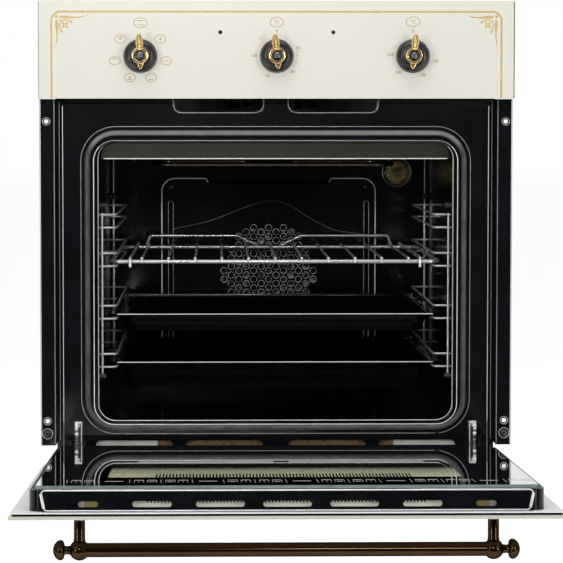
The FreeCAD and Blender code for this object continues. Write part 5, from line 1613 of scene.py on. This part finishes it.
def vent_loops():
    """The air slots of the near face, with round ends."""
    reach = VENT_TALL / 2
    loops = []
    for across, width in VENTS:
        run = width / 2 - reach
        for side in SIDES if across else (1,):
            x = side * across
            loop = arc(x + run, VENT_Y, reach, -90, 90, 12)
            loops.append(loop + arc(x - run, VENT_Y, reach, 90, 270, 12))
    return loops


def door_frame():
    """A folded band: the near face with its air slots, rounded corners and both sides."""
    flat = FRAME_HALF - FRAME_CORNER
    up = FRAME_HIGH - FRAME_CORNER
    front = FRAME_BACK + FRAME_DEEP
    outline = [(-flat, FRAME_BACK), (flat, FRAME_BACK), (flat, front), (-flat, front)]
    face = flat_sheet([outline] + vent_loops(), 0.0, FRAME_SHEET)
    lay = Matrix.Rotation(-math.pi / 2, 4, "X")
    face.transform(Matrix.Translation(Vector((0, 0, FRAME_HIGH)) * MM) @ lay)
    band = [(FRAME_HALF, FRAME_LOW)] + arc(flat, up, FRAME_CORNER, 0, 90, 8)
    band += arc(flat, up, FRAME_CORNER - FRAME_SHEET, 90, 0, 8)
    band.append((FRAME_HALF - FRAME_SHEET, FRAME_LOW))
    shapes = [band]
    for (x0, x1), (z0, z1) in FRAME_WALLS:
        shapes.append([(x0, z0), (x1, z0), (x1, z1), (x0, z1)])
    meshes = [face]
    tabs = []
    stops = []
    for side in SIDES:
        for shape in shapes:
            meshes.append(flat_sheet([mirrored(side, shape)], FRAME_BACK, FRAME_DEEP))
        tabs.append(block(sorted(side * x for x in VENT_TAB_X), VENT_TAB_Y, VENT_TAB_Z))
        stops.append(block(sorted(side * x for x in VENT_STOP_X), VENT_TAB_Y, VENT_STOP_Z))
    for x in comb_places(151.0):
        meshes.append(block((x - 0.85, x + 0.85), (VENT_Y + 1.3, VENT_Y + 4.2), VENT_COMB_Z))
    in_door("door_frame_band", meshes, FRAME_BLACK, "black_enamel", "door_frame")
    in_door("door_vent_tabs", tabs, OLIVE, "cream_enamel")
    in_door("door_vent_stops", stops, DIM_HIGHLIGHT_AND_GREY_METAL, "zinc_steel")


def door_edge_highlights():
    """A painted highlight: bright wires round the near face of the door frame and down its rounded
    corners, standing for the light its edges catch.
    """
    route = bent([(x, y, HIGHLIGHT_Z) for x, y in HIGHLIGHT_ROUTE], 4.5)[:-1]
    meshes = [wire(route, 0.8, True)]
    for side in SIDES:
        ends = [(side * x, y, HIGHLIGHT_Z) for x, y in HIGHLIGHT_ENDS]
        meshes.append(wire(ends, 1.7, sides=4))
    in_door("door_edge_highlights", meshes, NEAR_FACE_HIGHLIGHT, "zinc_steel")


def handle():
    """A turned bar with a ball and a finial at each end, on two posts."""
    half = FINIAL + arc(HANDLE_X, 0.0, BALL, 25, 132, 12) + COLLAR
    profile = mirrored(-1, half) + [(0.0, HANDLE_BAR)] + half[::-1]
    turned = lathe(profile, (0, HANDLE_Y, HANDLE_Z), "x")
    in_door("handle_turned", turned, BRONZE, "bronze", "handle_bar")
    posts = [lathe(STEM, (side * HANDLE_X, HANDLE_FACE, HANDLE_Z), "-y", 40) for side in SIDES]
    in_door("handle_stems", posts, BRONZE, "bronze", "handle_posts")


door_frame()
door_edge_highlights()
handle()


# Stage

MIDDLE = (0.0, 0.0, 0.3)
LIGHTS = (
    ("key_light", (-1.9, -2.3, 1.9), MIDDLE, (1.3, 1.6), 13.0),
    ("fill_light", (2.1, -2.2, 1.2), MIDDLE, (1.1, 1.5), 8.5),
    ("top_light", (0.0, -0.6, 2.3), (0.0, -0.2, 0.0), (2.0, 1.4), 21.0),
    ("front_light", (-0.2, -3.1, 1.04), MIDDLE, (0.7, 0.22), 14.0),
    ("left_strip", (-2.3, -2.6, 0.3), MIDDLE, (0.3, 0.9), 18.0),
    ("right_strip", (2.2, -2.6, 0.3), MIDDLE, (0.3, 0.9), 18.0),
)
WHITE = (1.0, 1.0, 1.0, 1.0)
FLOOR_Z = -0.42
PHOTO_WIDE = 563.0
FOCAL_PIXELS = 2198.4
SENSOR = 36.0
CAMERA_PLACE = Vector((-77.0, -2786.2, 448.8)) * MM
CAMERA_TILT = math.radians(87.0)
CAMERA_PAN = math.radians(-1.0)
LENS_SHIFT = (0.0497, -0.0858)


def placed(name, data, location):
    thing = bpy.data.objects.new(name, data)
    bpy.context.scene.collection.objects.link(thing)
    thing.location = location
    return thing


def softbox(name, place, target, size, power):
    light = bpy.data.lights.new(name, "AREA")
    light.shape = "RECTANGLE"
    light.size, light.size_y = size
    light.energy = power
    thing = placed(name, light, place)
    aim = Vector(target) - thing.location
    thing.rotation_euler = aim.to_track_quat("-Z", "Y").to_euler()


def seen_share(tree, amount):
    """The share of plain white that camera, mirror and glass rays see."""
    path = tree.node("LightPath")
    found = path.outputs["Is Camera Ray"]
    for other in ("Is Glossy Ray", "Is Transmission Ray"):
        either = tree.node("Math")
        either.operation = "MAXIMUM"
        tree.link(found, either.inputs[0])
        tree.link(path.outputs[other], either.inputs[1])
        found = either.outputs["Value"]
    scale = tree.node("Math")
    scale.operation = "MULTIPLY"
    tree.link(found, scale.inputs[0])
    scale.inputs[1].default_value = amount
    return scale.outputs["Value"]


def floor():
    made = bmesh.new()
    bmesh.ops.create_grid(made, x_segments=1, y_segments=1, size=16.0)
    thing = placed("floor", plain_mesh(made), (0, 14.6, FLOOR_Z))
    material = bpy.data.materials.new("floor")
    tree = Tree(material, empty=True)
    matte = tree.node("BsdfDiffuse", Color=(0.9, 0.9, 0.9, 1.0))
    glow = tree.node("Emission")
    both = tree.node("AddShader")
    tree.link(seen_share(tree, 0.63), glow.inputs["Strength"])
    tree.link(matte.outputs["BSDF"], both.inputs[0])
    tree.link(glow.outputs["Emission"], both.inputs[1])
    tree.link(both.outputs["Shader"], tree.node("OutputMaterial").inputs["Surface"])
    thing.data.materials.append(material)


def world():
    """White behind the oven; a dim studio in front of it for mirror rays, and soft fill."""
    made = bpy.data.worlds.new("studio")
    bpy.context.scene.world = made
    tree = Tree(made, empty=True)
    mirror = tree.node("Background", Color=WHITE)
    fill = tree.node("Background", Color=WHITE, Strength=0.34)
    white = tree.node("Background", Color=WHITE)
    place = tree.node("TexCoord").outputs["Generated"]
    tree.link(tree.along(place, "Y", -0.25, 0.15, 0.06), mirror.inputs["Strength"])
    path = tree.node("LightPath")
    shown = mirror.outputs["Background"]
    for ray, backdrop in (("Is Diffuse Ray", fill), ("Is Camera Ray", white)):
        mix = tree.node("MixShader")
        tree.link(path.outputs[ray], mix.inputs["Fac"])
        tree.link(shown, mix.inputs[1])
        tree.link(backdrop.outputs["Background"], mix.inputs[2])
        shown = mix.outputs["Shader"]
    tree.link(shown, tree.node("OutputWorld").inputs["Surface"])


def camera():
    """Nearly straight in along Y, a little down and to the right, with a small lens shift."""
    lens = bpy.data.cameras.new("camera")
    lens.sensor_width = SENSOR
    lens.lens = FOCAL_PIXELS / PHOTO_WIDE * SENSOR
    lens.shift_x, lens.shift_y = LENS_SHIFT
    thing = placed("camera", lens, CAMERA_PLACE)
    thing.rotation_euler = (CAMERA_TILT, 0.0, CAMERA_PAN)
    bpy.context.scene.camera = thing


floor()
world()
camera()
for light_row in LIGHTS:
    softbox(*light_row)

bpy.context.scene.view_settings.view_transform = "Standard"
